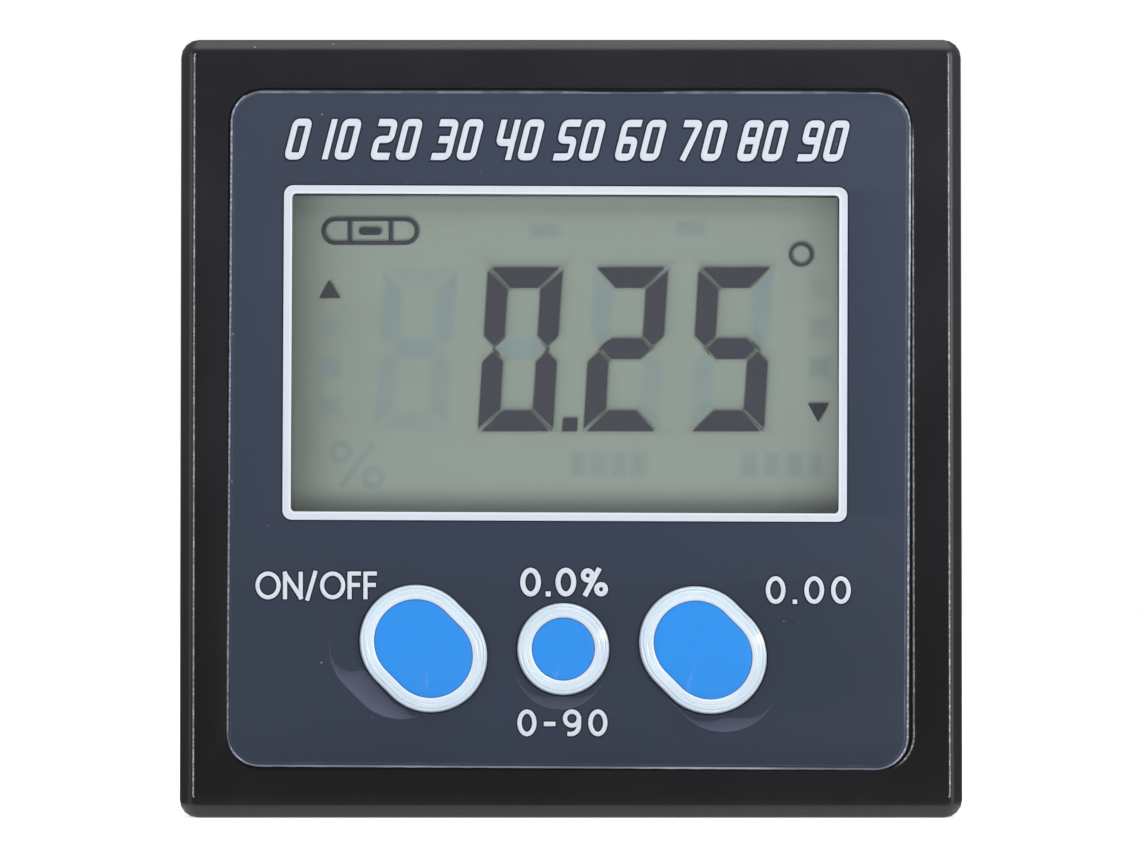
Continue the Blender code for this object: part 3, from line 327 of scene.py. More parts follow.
def outline_effect() -> Effect:
    """Painted highlight mask: a thin line along a rounded square on the face, broken by fine
    noise.

    Returns:
        The group.
    """
    sizes = {"Half Width": 0.0, "Half Height": 0.0, "Corner": 0.0, "Line": 0.0001}
    effect = Effect("edge_glint", {**sizes, "Fineness": 5000.0}, ("Mask",))
    graph, give = effect.graph, effect.source
    x, _, z = graph.axes(give["Vector"])

    def beyond(value: Socket, half: Socket) -> Socket:
        """How far a place is past the straight part of one side."""
        straight = graph.math("SUBTRACT", half, give["Corner"])
        return graph.math("SUBTRACT", graph.math("ABSOLUTE", value), straight)

    across = beyond(x, give["Half Width"])
    along = beyond(z, give["Half Height"])
    out_x = graph.math("MAXIMUM", across, 0.0)
    out_z = graph.math("MAXIMUM", along, 0.0)
    squares = graph.math("MULTIPLY_ADD", out_x, out_x, graph.product(out_z, out_z))
    inner = graph.math("MINIMUM", graph.math("MAXIMUM", across, along), 0.0)
    distance = graph.math("ADD", graph.math("SQRT", squares), inner)
    distance = graph.math("ABSOLUTE", graph.math("SUBTRACT", distance, give["Corner"]))
    share = graph.math("DIVIDE", distance, give["Line"])
    solid = graph.fade(share, 1.0, 0.35)
    noise = graph.noise(give["Vector"], give["Fineness"], 1.0)
    broken = graph.math("MULTIPLY_ADD", graph.fade(noise, 0.4, 0.72), 0.62, 0.38)
    graph.feed(effect.sink["Mask"], graph.product(solid, broken))
    return effect


class Effects:
    """The shared effects, built once."""

    grain: Effect
    dust: Effect
    outline: Effect

    @classmethod
    def build(cls) -> None:
        """Build every shared node group."""
        cls.grain = grain_effect()
        cls.dust = dust_effect()
        cls.outline = outline_effect()


# Finishes


@dataclass(frozen=True)
class Finish:
    """What a surface is made of. Each kind paints its own nodes."""

    name: str
    colour: Colour
    roughness: float

    def make(self) -> Material:
        """Build the material.

        Returns:
            The finished material.
        """
        graph = Surface(self.name)
        graph.shade({"Base Color": self.colour, "Roughness": self.roughness})
        self.paint(graph)
        graph.material.diffuse_color = (*self.colour, 1.0)
        return graph.material

    def paint(self, graph: Surface) -> None:
        """Add the finish's own nodes.

        Args:
            graph: The material's graph.
        """

    def gloss(self, graph: Surface, tone: Socket, spread: float, below: float = 0.5) -> None:
        """Let the roughness vary around its own value.

        Args:
            graph: The material's graph.
            tone: What it follows, from 0 to 1.
            spread: How much it varies.
            below: Share of that which lies below its value.
        """
        rough = graph.math("MULTIPLY_ADD", tone, spread, self.roughness - spread * below)
        graph.shade({"Roughness": rough})

    def shades(self, low: float, high: float) -> list[Colour]:
        """The colour made darker or lighter by two factors."""
        return [tuple(min(1.0, c * factor) for c in self.colour) for factor in (low, high)]

    def bump(self, graph: Surface, height: Socket, depth: float) -> None:
        """Raise the surface by a height.

        Args:
            graph: The material's graph.
            height: Height from 0 to 1.
            depth: What 1 stands for, in metres.
        """
        feeds = {"Strength": 1.0, "Distance": depth, "Height": height}
        graph.shade({"Normal": graph.wired("ShaderNodeBump", feeds).outputs["Normal"]})


@dataclass(frozen=True)
class MouldedPlastic(Finish):
    """Moulded plastic with grain, uneven tone and a little dust."""

    fineness: float = 6500.0
    depth: float = 0.004 * MM
    uneven: float = 0.25
    dust: float = 0.03
    specular: float = 0.3
    dust_colour: Colour = srgb(150, 150, 152)

    def paint(self, graph: Surface) -> None:
        """Add grain, tone and dust.

        Args:
            graph: The material's graph.
        """
        grain = Effects.grain.place_in(graph, Vector=graph.place, Fineness=self.fineness)
        dust = Effects.dust.place_in(graph, Vector=graph.place, Size=self.dust)
        shades = self.shades(1 - self.uneven, 1 + self.uneven)
        colour = graph.mix(graph.fade(grain["Tone"], 0.3, 0.7), *shades)
        colour = graph.mix(dust["Mask"], colour, self.dust_colour)
        colour = self.extra(graph, colour)
        graph.shade({"Base Color": colour, "Specular IOR Level": self.specular})
        self.gloss(graph, grain["Tone"], 0.16)
        self.bump(graph, grain["Height"], self.depth)

    def extra(self, graph: Surface, colour: Socket) -> Socket:
        """What a special moulding adds to its colour."""
        return colour


@dataclass(frozen=True)
class Sides:
    """How strongly something shows on each side of a rounded square."""

    left: float = 0.0
    right: float = 0.0
    top: float = 0.0
    bottom: float = 0.0


@dataclass(frozen=True)
class Glint:
    """A painted highlight: a light-catching line along a rounded square on the face.

    line is its half width, and fineness the waves a metre that break it up. On each side it
    shows within reach of that side, between the two heights of span. turn is how far the
    square is turned.
    """

    half_width: float
    half_height: float
    middle: Point
    corner: float
    line: float
    sides: Sides
    reach: float = 0.6 * MM
    fineness: float = 5000.0
    span: tuple[float, float] = (-1.0, 1.0)
    turn: float = 0.0

    def place_in(self, graph: Surface) -> Socket:
        """How strongly the line shows at a place.

        Args:
            graph: The material's graph.

        Returns:
            A share from 0 to 1.
        """
        feeds = {0: graph.place, 1: (self.middle[0], 0.0, self.middle[1])}
        place = graph.wired("ShaderNodeVectorMath", feeds, operation="SUBTRACT").outputs[0]
        if self.turn:
            feeds = {"Vector": place, "Angle": self.turn}
            turned = graph.wired("ShaderNodeVectorRotate", feeds, rotation_type="Y_AXIS")
            place = turned.outputs[0]
        line = Effects.outline.place_in(
            graph,
            Vector=place,
            Half_Width=self.half_width,
            Half_Height=self.half_height,
            Corner=self.corner,
            Line=self.line,
            Fineness=self.fineness,
        )
        x, _, z = graph.axes(place)
        share: object = 0.0
        for value, at, inwards, weight in (
            (x, -self.half_width, 1, self.sides.left),
            (x, self.half_width, -1, self.sides.right),
            (z, self.half_height, -1, self.sides.top),
            (z, -self.half_height, 1, self.sides.bottom),
        ):
            if weight:
                near = graph.fade(value, at + inwards * self.reach, at + inwards * self.reach / 3)
                share = graph.math("MAXIMUM", share, graph.product(near, weight))
        low, high = self.span
        if low > -1.0:
            share = graph.product(share, graph.fade(z, low, low + 7 * MM))
        if high < 1.0:
            share = graph.product(share, graph.fade(z, high, high - 1.5 * MM))
        return graph.product(line["Mask"], share)


@dataclass(frozen=True)
class CaseBlack(MouldedPlastic):
    """The case: black moulding with painted highlight lines along its edges.

    front is where the face starts and is fully reached, along y. Painted light makes the face
    lighter towards the top: between the two heights in rise its colour grows from the first of
    painted_top_light by the second.
    """

    glints: tuple[Glint, ...] = ()
    glint_colour: Colour = srgb(212, 212, 210)
    front: Point = (-13.0 * MM, -13.4 * MM)
    rise: Point = (2 * MM, 52 * MM)
    painted_top_light: Point = (0.35, 1.3)

    def extra(self, graph: Surface, colour: Socket) -> Socket:
        """Add painted top light and the painted highlight lines, each stronger to one side.

        Args:
            graph: The material's graph.
            colour: The colour so far.

        Returns:
            The new colour.
        """
        _, y, z = graph.axes(graph.place)
        front = graph.fade(y, *self.front)
        # Painted light: the face darker low down and lighter towards the top.
        low, more = self.painted_top_light
        rise = graph.math("MULTIPLY_ADD", graph.fade(z, *self.rise), more, low)
        feeds = {0: colour, "Scale": rise}
        top_lit_colour = graph.wired("ShaderNodeVectorMath", feeds, operation="SCALE")
        colour = graph.mix(front, colour, top_lit_colour.outputs[0])
        # Painted highlights: light-catching lines along the edges.
        for glint in self.glints:
            share = graph.product(glint.place_in(graph), front)
            colour = graph.mix(share, colour, self.glint_colour)
        return colour


@dataclass(frozen=True)
class FacePrint(Finish):
    """Printed film: blue-grey satin, with painted top light and painted highlights on its cut
    edge.
    """

    edges: tuple[Glint, ...] = ()
    edge_highlight_colour: Colour = srgb(222, 230, 246)
    # sheen is the colour of the painted reflections beside the keys.
    speck_colour: Colour = srgb(120, 126, 140)
    sheen: Colour = srgb(90, 97, 116)
    heights: Point = (6 * MM, 50 * MM)
    tones_and_painted_light: Point = (0.86, 1.08)

    def paint(self, graph: Surface) -> None:
        """Add painted top light, painted cut-edge highlights, specks and painted reflections.

        Args:
            graph: The material's graph.
        """
        _, _, z = graph.axes(graph.place)
        grain = Effects.grain.place_in(graph, Vector=graph.place, Fineness=2600.0, Patches=60.0)
        # Painted light: the film lighter towards the top and darker low down.
        colour = graph.mix(graph.fade(z, *self.heights), *self.shades(*self.tones_and_painted_light))
        shade = graph.product(graph.fade(grain["Tone"], 0.25, 0.75), 0.1)
        colour = graph.mix(shade, colour, BLACK)
        # Painted highlights along the film's cut edge.
        for glint in self.edges:
            colour = graph.mix(glint.place_in(graph), colour, self.edge_highlight_colour)
        dust = Effects.dust.place_in(graph, Vector=graph.place, Spacing=800.0, Size=0.06)
        colour = graph.mix(dust["Mask"], colour, self.speck_colour)
        # Painted reflections: the crescents carry the fade mark.
        colour = graph.mix(graph.mark("fade"), colour, self.sheen)
        graph.shade({"Base Color": colour, "Specular IOR Level": 0.3})
        self.gloss(graph, grain["Tone"], 0.12)
        self.bump(graph, grain["Height"], 0.0012 * MM)


@dataclass(frozen=True)
class ClearPane(Finish):
    """Clear moulded window that lets the light through to what lies behind it."""

    def paint(self, graph: Surface) -> None:
        """Make the pane clear, and open to shadow and diffuse rays.

        Args:
            graph: The material's graph.
        """
        plain = {"Transmission Weight": 1.0, "IOR": 1.3, "Specular IOR Level": 0.35}
        graph.shade(plain)
        self.gloss(graph, graph.noise(graph.place, 70.0, 3.0), 0.004, 0.0)
        output = graph.tree.nodes["Material Output"]
        path = graph.node("ShaderNodeLightPath").outputs
        light = graph.math("MAXIMUM", path["Is Shadow Ray"], path["Is Diffuse Ray"])
        clear = graph.node("ShaderNodeBsdfTransparent").outputs[0]
        feeds = {0: light, 1: graph.shader.outputs[0], 2: clear}
        blend = graph.wired("ShaderNodeMixShader", feeds)
        graph.feed(output.inputs["Surface"], blend.outputs[0])


class Edge(Enum):
    """A side of the window: the axis across it (0 is x, 1 is z) and the way inwards."""

    LEFT = (0, 1)
    RIGHT = (0, -1)
    TOP = (1, -1)
    BOTTOM = (1, 1)


@dataclass(frozen=True)
class Band:
    """A soft band along one side of the display: painted shade if dark, painted light if light.

    share is its strength at that side, reach how far it goes, and bend how steeply it falls.
    """

    edge: Edge
    share: float
    reach: float
    colour: Colour
    bend: float = 1.6


@dataclass(frozen=True)
class DisplayField(Finish):
    """The display's grey-green field, with soft bands of painted shade and light by the window's
    edges.
    """

    middle: Point = (0.0, 0.0)
    half: Point = (0.0, 0.0)
    bands: tuple[Band, ...] = ()

    def paint(self, graph: Surface) -> None:
        """Add the soft bands of painted shade and light along the edges and a fine satin.

        Args:
            graph: The material's graph.
        """
        x, _, z = graph.axes(graph.place)
        colour: object = self.colour
        for band in self.bands:
            axis, inwards = band.edge.value
            start = self.middle[axis] - inwards * self.half[axis]
            near = graph.fade((x, z)[axis], start + inwards * band.reach, start)
            share = graph.product(graph.math("POWER", near, band.bend), band.share)
            colour = graph.mix(share, colour, band.colour)
        fine = graph.noise(graph.place, 9000.0, 2.0)
        broad = graph.noise(graph.place, 120.0, 2.0)
        tone = graph.math("MULTIPLY_ADD", fine, 0.05, graph.product(broad, 0.04))
        colour = graph.mix(tone, colour, BLACK)
        graph.shade({"Base Color": colour, "Specular IOR Level": 0.1})
        self.bump(graph, fine, 0.0008 * MM)


@dataclass(frozen=True)
class Ink(Finish):
    """Printed or switched-on areas: one colour, a little uneven in cover."""

    uneven: float = 0.06
    fineness: float = 2400.0
    specular: float = 0.3

    def paint(self, graph: Surface) -> None:
        """Add the uneven cover.

        Args:
            graph: The material's graph.
        """
        cover = graph.noise(graph.place, self.fineness, 3.0)
        share = graph.product(graph.fade(cover, 0.3, 0.75), self.uneven * 2)
        colour = graph.mix(share, *self.shades(1.0, 0.7))
        graph.shade({"Base Color": colour, "Specular IOR Level": self.specular})
        self.gloss(graph, cover, 0.1)


@dataclass(frozen=True)
class SoftShade(Finish):
    """A faint area that fades at its rim, for painted shadows, painted highlights and unlit
    segments.
    """

    strength: float = 0.5

    def paint(self, graph: Surface) -> None:
        """Let the fade drive how much shows.

        Args:
            graph: The material's graph.
        """
        cover = graph.math("MULTIPLY_ADD", graph.noise(graph.place, 700.0, 2.0), 0.2, 0.9)
        alpha = graph.product(graph.product(graph.mark("fade"), self.strength), cover)
        graph.shade({"Specular IOR Level": 0.0, "Alpha": alpha})


@dataclass(frozen=True)
class KeyPlastic(Finish):
    """Glossy key plastic, faintly translucent, with a soft change of tone, painted shade and
    highlights.
    """

    uneven: float = 0.04
    coat: float = 0.5
    depth: float = 0.002 * MM
    ring_tones: tuple[tuple[float, Colour], ...] = ()
    painted_highlights: tuple[Point, ...] = ()
    spark_size: Point = (0.6 * MM, 0.2 * MM)
    front: float = 0.0

    def paint(self, graph: Surface) -> None:
        """Add tone, gloss, rings with painted shade, painted highlights and faint moulding waves.

        Args:
            graph: The material's graph.
        """
        broad = graph.noise(graph.place, 260.0, 2.0)
        colour: object = self.colour
        # The rim's own bluish white, with painted shade in its groove and on its outer slope and
        # a painted highlight on its outer bead.
        if self.ring_tones:
            ramp = graph.wired("ShaderNodeValToRGB", {0: graph.mark("ring")})
            ramp.color_ramp.interpolation = "EASE"
            stops = ramp.color_ramp.elements
            while len(stops) < len(self.ring_tones):
                stops.new(0.5)
            for stop, (at, _) in zip(stops, self.ring_tones):
                stop.position = at
            for stop, (_, tone) in zip(stops, self.ring_tones):
                stop.color = (*tone, 1.0)
            colour = ramp.outputs[0]
        weak, _ = self.shades(1 - 2 * self.uneven, 1.0)
        colour = graph.mix(graph.product(graph.fade(broad, 0.3, 0.7), 0.4), colour, weak)
        # Painted highlights: the rim turns white round each given place.
        for x, z in self.painted_highlights:
            feeds = {0: graph.place, 1: (x, self.front, z)}
            away = graph.wired("ShaderNodeVectorMath", feeds, operation="DISTANCE")
            bright = graph.fade(away.outputs["Value"], *self.spark_size)
            colour = graph.mix(bright, colour, WHITE)
        feeds = {"Base Color": colour, "Coat Weight": self.coat, "Coat Roughness": 0.05}
        graph.shade(feeds)
        self.gloss(graph, broad, 0.08)
        self.bump(graph, graph.noise(graph.place, 1500.0, 2.0), self.depth)


@dataclass(frozen=True)
class BareMetal(Finish):
    """Plated or drawn metal with fine lines along one axis."""

    lines: Triple = (400.0, 6000.0, 400.0)
    tarnish: Colour = (0.25, 0.23, 0.2)

    def paint(self, graph: Surface) -> None:
        """Add drawn lines and faint tarnish.

        Args:
            graph: The material's graph.
        """
        stretch = graph.wired("ShaderNodeMapping", {"Vector": graph.place, "Scale": self.lines})
        drawn = graph.noise(stretch.outputs["Vector"], 1.0, 3.0)
        cloud = graph.noise(graph.place, 350.0, 3.0)
        share = graph.product(graph.fade(cloud, 0.55, 0.8), 0.35)
        colour = graph.mix(share, self.colour, self.tarnish)
        graph.shade({"Base Color": colour, "Metallic": 1.0})
        self.gloss(graph, drawn, 0.25, 0.4)
        self.bump(graph, drawn, 0.002 * MM)


@dataclass(frozen=True)
class Laminate(Finish):
    """Circuit board: lacquered laminate with tracks under the lacquer."""

    track: Colour = srgb(38, 110, 58)
    pitch: float = 1.6 * MM

    def paint(self, graph: Surface) -> None:
        """Add straight tracks in two directions and the glass weave.

        Args:
            graph: The material's graph.
        """
        x, _, z = graph.axes(graph.place)
        fields = graph.noise(graph.place, 140.0, 1.0)
        upright, level = self.stripes(graph, x), self.stripes(graph, z)
        pick = graph.math("GREATER_THAN", fields, 0.5)
        other = graph.product(level, graph.math("SUBTRACT", 1.0, pick))
        tracks = graph.math("ADD", graph.product(upright, pick), other)
        colour = graph.mix(tracks, self.colour, self.track)
        weave = graph.noise(graph.place, 3000.0, 2.0)
        colour = graph.mix(graph.product(weave, 0.2), colour, (0.0, 0.02, 0.0))
        graph.shade({"Base Color": colour})
        self.bump(graph, tracks, 0.02 * MM)

    def stripes(self, graph: Graph, value: Socket) -> Socket:
        """Lines across one direction, a third of their pitch wide.

        Args:
            graph: The material's graph.
            value: The place in that direction.

        Returns:
            1 on a line, 0 beside it.
        """
        turn = graph.math("FRACT", graph.math("DIVIDE", value, self.pitch))
        off = graph.math("ABSOLUTE", graph.math("SUBTRACT", turn, 0.5))
        return graph.fade(off, 0.2, 0.13)


@dataclass(frozen=True)
class CellSleeve(Finish):
    """Shrink sleeve of a cell: green with a pale band at the positive end."""

    band: Colour = srgb(186, 188, 184)
    metal: Colour = srgb(190, 188, 182)
    band_from: float = 14 * MM
    sleeve_end: float = 20.6 * MM
    flip: float = 1.0

    def paint(self, graph: Surface) -> None:
        """Split the sleeve into its two colours, with bare metal at both ends.

        Args:
            graph: The material's graph.
        """
        x, _, _ = graph.axes(graph.place)
        along = graph.product(x, self.flip)
        band = graph.fade(along, self.band_from, self.band_from + 0.1 * MM)
        colour = graph.mix(band, self.colour, self.band)
        rings = graph.noise(graph.place, 500.0, 2.0)
        colour = graph.mix(graph.product(rings, 0.15), colour, (0.02, 0.02, 0.02))
        out = graph.math("ABSOLUTE", x)
        ends = graph.fade(out, self.sleeve_end, self.sleeve_end + 0.1 * MM)
        colour = graph.mix(ends, colour, self.metal)
        shine = graph.math("MULTIPLY_ADD", ends, 0.5, 0.4)
        graph.shade({"Base Color": colour, "Metallic": shine})
        self.bump(graph, rings, 0.01 * MM)


# Meshes


def rounded_box(half_width: float, half_height: float, corner: float, steps: int) -> Loop:
    """A rectangle with rounded corners, around the middle, anticlockwise.

    Args:
        half_width: Half of its width.
        half_height: Half of its height.
        corner: Radius of its corners.
        steps: Faces round each corner.

    Returns:
        Its points.
    """
    loop: Loop = []
    for quarter, (sx, sz) in enumerate(((1, -1), (1, 1), (-1, 1), (-1, -1))):
        for step in range(steps + 1):
            angle = math.pi / 2 * (quarter - 1 + step / steps)
            x = sx * (half_width - corner) + corner * math.cos(angle)
            loop.append((x, sz * (half_height - corner) + corner * math.sin(angle)))
    return loop


def stretched_round(radius: float, stretch: float, steps: int) -> Loop:
    """A circle pulled apart from upper left to lower right, anticlockwise.

    Args:
        radius: Its radius.
        stretch: Shift between the two round ends, across and down.
        steps: Points round it, an even number.

    Returns:
        Its points.
    """
    loop: Loop = []
    for step in range(steps):
        angle = 2 * math.pi * (step + 0.5) / steps + math.pi / 4
        x, z = radius * math.cos(angle), radius * math.sin(angle)
        shift = math.copysign(stretch / 2, x - z)
        loop.append((x + shift, z - shift))
    return loop


def moved(loop: Iterable[Point], x: float, z: float, turn: float = 0.0) -> Loop:
    """A loop turned about its middle and set down at a place."""
    cos, sin = math.cos(turn), math.sin(turn)
    return [(x + a * cos - b * sin, z + a * sin + b * cos) for a, b in loop]


def run(here: Point, there: Point) -> Vector:
    """The way from one place to another."""
    return Vector((there[0] - here[0], there[1] - here[1]))


def grown(loop: Sequence[Point], amount: float) -> Loop:
    """A convex loop with every side moved outwards.

    Args:
        loop: Its points, anticlockwise.
        amount: How far, negative for inwards.

    Returns:
        The new points.
    """
    result: Loop = []
    sharpest = 0.35
    for before, here, after in zip([loop[-1], *loop], loop, [*loop[1:], loop[0]]):
        a, b = run(before, here).normalized(), run(here, after).normalized()
        first, second = Vector((a.y, -a.x)), Vector((b.y, -b.x))
        miter = first + second
        scale = amount / max(sharpest, miter.dot(first))
        result.append((here[0] + miter.x * scale, here[1] + miter.y * scale))
    return result


def area_sign(loop: Sequence[Point]) -> float:
    """Twice the signed area of a loop, above 0 if it runs anticlockwise."""
    return sum(a[0] * b[1] - b[0] * a[1] for a, b in zip(loop, [*loop[1:], loop[0]]))


def anticlockwise(loop: Sequence[Point]) -> Loop:
    """The same loop, run anticlockwise."""
    return list(loop) if area_sign(loop) > 0 else list(reversed(loop))


def linked(name: str, data: bpy.types.ID) -> Piece:
    """A new object in the scene.

    Args:
        name: Its name.
        data: Its mesh, curve, lamp or camera.

    Returns:
        The object, at the origin.
    """
    obj = bpy.data.objects.new(name, data)
    bpy.context.scene.collection.objects.link(obj)
    return obj


def new_piece(name: str, bm: Bmesh, material: Material) -> Piece:
    """Turn a finished mesh into a piece at the origin.

    Args:
        name: The piece's name.
        bm: Its mesh, already in place.
        material: Its finish.

    Returns:
        The new object.
    """
    mesh = bpy.data.meshes.new(name)
    bm.to_mesh(mesh)
    bm.free()
    mesh.materials.append(material)
    return linked(name, mesh)


def smooth(obj: Piece, degrees: float) -> None:
    """Shade a piece smoothly up to an angle between its faces."""
    obj.data.shade_smooth()
    obj.data.set_sharp_from_angle(angle=math.radians(degrees))


def final_mesh(obj: Piece, **settings: bool) -> bpy.types.Mesh:
    """The mesh that an object's modifiers or its curve lead to.

    Args:
        obj: The object.
        **settings: What else to keep.

    Returns:
        A new mesh.
    """
    depsgraph = bpy.context.evaluated_depsgraph_get()
    depsgraph.update()
    shown = obj.evaluated_get(depsgraph)
    return bpy.data.meshes.new_from_object(shown, depsgraph=depsgraph, **settings)


def weighted(obj: Piece) -> None:
    """Shade a piece's flats flat, and keep that in its mesh.

    Args:
        obj: The piece.
    """
    modifier = obj.modifiers.new("flats", "WEIGHTED_NORMAL")
    modifier.weight = 100
    modifier.keep_sharp = True
    mesh = final_mesh(obj, preserve_all_data_layers=True)
    obj.modifiers.clear()
    obj.data = mesh


def add_spline(curve: bpy.types.Curve, points: Sequence[Sequence[float]], closed: bool) -> None:
    """Add a line to a curve.

    Args:
        curve: The curve.
        points: Its points, as (x, y, z).
        closed: Whether it ends where it starts.
    """
    spline = curve.splines.new("POLY")
    spline.points.add(len(points) - 1)
    spline.use_cyclic_u = closed
    for point, place in zip(spline.points, points):
        point.co = (*place, 1.0)


def bridge(bm: Bmesh, first: Sequence, second: Sequence, closed: bool = True) -> None:
    """Join two rows of points with faces.

    Args:
        bm: Their mesh.
        first: One row.
        second: The other row, with as many points.
        closed: Whether the rows end where they start.
    """
    for index in range(len(first) if closed else len(first) - 1):
        other = (index + 1) % len(first)
        bm.faces.new((first[index], second[index], second[other], first[other]))


def marked(bm: Bmesh, layer: object, place: Sequence[float], mark: float) -> bmesh.types.BMVert:
    """Add a point that carries a value for its finish.

    Args:
        bm: The mesh.
        layer: Where the mesh keeps the value.
        place: The point.
        mark: The value.

    Returns:
        The point's vertex.
    """
    vert = bm.verts.new(place)
    vert[layer] = (mark, mark, mark, 1.0)
    return vert


def plates(loops: Iterable[Sequence[Point]], front: float, thickness: float) -> Bmesh:
    """Flat plates with the given outlines, facing the reader.

    Args:
        loops: Outline of each plate, as (x, z).
        front: Their front, along y.
        thickness: How far they reach back.

    Returns:
        Their mesh.
    """
    bm = bmesh.new()
    for loop in loops:
        loop = anticlockwise(loop)
        top = [bm.verts.new((x, front, z)) for x, z in loop]
        low = [bm.verts.new((x, front + thickness, z)) for x, z in loop]
        bm.faces.new(top)
        bm.faces.new(list(reversed(low)))
        bridge(bm, top, low)
    return bm


def skin(
    rings: Sequence[tuple[Sequence[Point], float]], closed: bool, marks: Sequence[float] = ()
) -> Bmesh:
    """A skin over a row of outlines with equally many points.

    Args:
        rings: Outline and place along y of each ring, from the front's inside outwards.
        closed: Whether the last ring joins the first. Otherwise both are filled.
        marks: What to note on each ring for its finish, if anything.

    Returns:
        The mesh.
    """
    bm = bmesh.new()
    layer = bm.verts.layers.float_color.new("ring") if marks else None
    rows = [[bm.verts.new((x, y, z)) for x, z in loop] for loop, y in rings]
    for row, mark in zip(rows, marks):
        for vert in row:
            vert[layer] = (mark, mark, mark, 1.0)
    for first, second in zip(rows, rows[1:]):
        bridge(bm, first, second)
    if closed:
        bridge(bm, rows[-1], rows[0])
    else:
        bm.faces.new(rows[0])
        bm.faces.new(list(reversed(rows[-1])))
    bmesh.ops.recalc_face_normals(bm, faces=bm.faces)
    return bm


def soft_patches(
    name: str,
    loops: Iterable[Sequence[Point]],
    level: float,
    spread: float,
    material: Material,
    covers: Optional[Sequence[float]] = None,
) -> Piece:
    """Flat patches whose cover fades out around each outline.

    Args:
        name: The piece's name.
        loops: Convex outlines, as (x, z).
        level: Their place along y.
        spread: How far they fade, half of it inside the outline.
        material: Their finish, which reads the fade.
        covers: How clearly each shows, all fully if not given.

    Returns:
        The new object.
    """
    bm = bmesh.new()
    layer = bm.verts.layers.float_color.new("fade")
    for number, loop in enumerate(loops):
        full = covers[number] if covers else 1.0
        loop = anticlockwise(loop)
        rows = []
        for share, cover in ((-0.45, 1.0), (-0.15, 0.82), (0.15, 0.4), (0.4, 0.12), (0.65, 0.0)):
            ring = grown(loop, spread * share)
            rows.append([marked(bm, layer, (x, level, z), cover * full) for x, z in ring])
        bm.faces.new(rows[0])
        for inner, outer in zip(rows, rows[1:]):
            bridge(bm, inner, outer)
    return new_piece(name, bm, material)


def soft_grid(
    name: str,
    grids: Iterable[Grid],
    level: float,
    material: Material,
) -> Piece:
    """Flat strips whose cover is given point by point.

    Args:
        name: The piece's name.
        grids: For each strip its rows of points, each as x, z and cover.
        level: Their place along y.
        material: Their finish, which reads the cover.

    Returns:
        The new object.
    """
    bm = bmesh.new()
    layer = bm.verts.layers.float_color.new("fade")
    for grid in grids:
        rows = [[marked(bm, layer, (x, level, z), cover) for x, z, cover in row] for row in grid]
        for first, second in zip(rows, rows[1:]):
            bridge(bm, first, second, False)
    bmesh.ops.remove_doubles(bm, verts=bm.verts, dist=0.00005 * MM)
    for face in bm.faces:
        face.normal_update()
        if face.normal.y > 0:
            face.normal_flip()
    return new_piece(name, bm, material)


def soft_band(line: Sequence[Point], half: float, closed: bool = False) -> Grid:
    """A strip along a line, fullest on it and gone at a distance.

    Args:
        line: Its points.
        half: Where the cover ends, on both sides.
        closed: Whether the line ends where it starts.

    Returns:
        Rows for a soft strip.
    """
    section = ((-1.0, 0.0), (-0.4, 0.8), (0.0, 1.0), (0.4, 0.8), (1.0, 0.0))
    points = list(line[:-1]) if closed else list(line)
    first, last = (points[-1], points[0]) if closed else (points[0], points[-1])
    grid = []
    for before, (x, z), after in zip([first, *points], points, [*points[1:], last]):
        way = run(before, after).normalized() * half
        grid.append([(x - way.y * share, z + way.x * share, cover) for share, cover in section])
    if closed:
        grid.append(grid[0])
    return grid


def refined(loop: Sequence[Point], step: float) -> Loop:
    """A closed loop with points no farther apart than a step.

    Args:
        loop: Its points.
        step: The greatest distance.

    Returns:
        The new points.
    """
    result: Loop = []
    for here, after in zip(loop, [*loop[1:], loop[0]]):
        parts = max(1, math.ceil(math.dist(here, after) / step))
        for part in range(parts):
            place = Vector(here) + run(here, after) * part / parts
            result.append(tuple(place))
    return result


def split_sharp(line: Sequence[Point], degrees: float = 50.0) -> list[Loop]:
    """A line parted where it turns sharply, so that a stroke keeps its width there.

    Args:
        line: Its points.
        degrees: The least turn that parts it.

    Returns:
        The parts.
    """
    parts: list[Loop] = [[line[0]]]
    for before, here, after in zip(line, line[1:], line[2:]):
        parts[-1].append(here)
        a, b = run(before, here), run(here, after)
        if a.length and b.length and a.angle(b) > math.radians(degrees):
            parts.append([here])
    parts[-1].append(line[-1])
    return parts


def merged_copy(node: str, material: Material, sharp: float = 40.0) -> Piece:
    """A copy of a solid, merged and smoothly shaded, that stands for it.

    Args:
        node: The solid's name.
        material: Its finish.
        sharp: Angle above which an edge stays crisp, in degrees.

    Returns:
        The new object, riding where the solid rides.
    """
    source = frame["nodes"][node]
    bm = bmesh.new()
    bm.from_mesh(source.data)
    bmesh.ops.remove_doubles(bm, verts=bm.verts, dist=0.0005 * MM)
    bmesh.ops.dissolve_limit(
        bm, angle_limit=math.radians(0.5), verts=bm.verts, edges=bm.edges, delimit={"NORMAL"}
    )
    obj = new_piece(f"{node}_surface", bm, material)
    smooth(obj, sharp)
    weighted(obj)
    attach(obj, BODY_OF[node])
    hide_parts(node)
    return obj


def dress(node: str, material: Material) -> None:
    """Give a solid that stays its finish.

    Args:
        node: The solid's name.
        material: Its finish.
    """
    mesh = frame["nodes"][node].data
    if not mesh.materials:
        mesh.materials.append(material)
    for index in range(len(mesh.materials)):
        mesh.materials[index] = material


BODY_OF: dict[str, str] = {
    node: body for body, nodes in frame["record"]["behaviour"]["bodies"].items() for node in nodes
}


# Print made of strokes


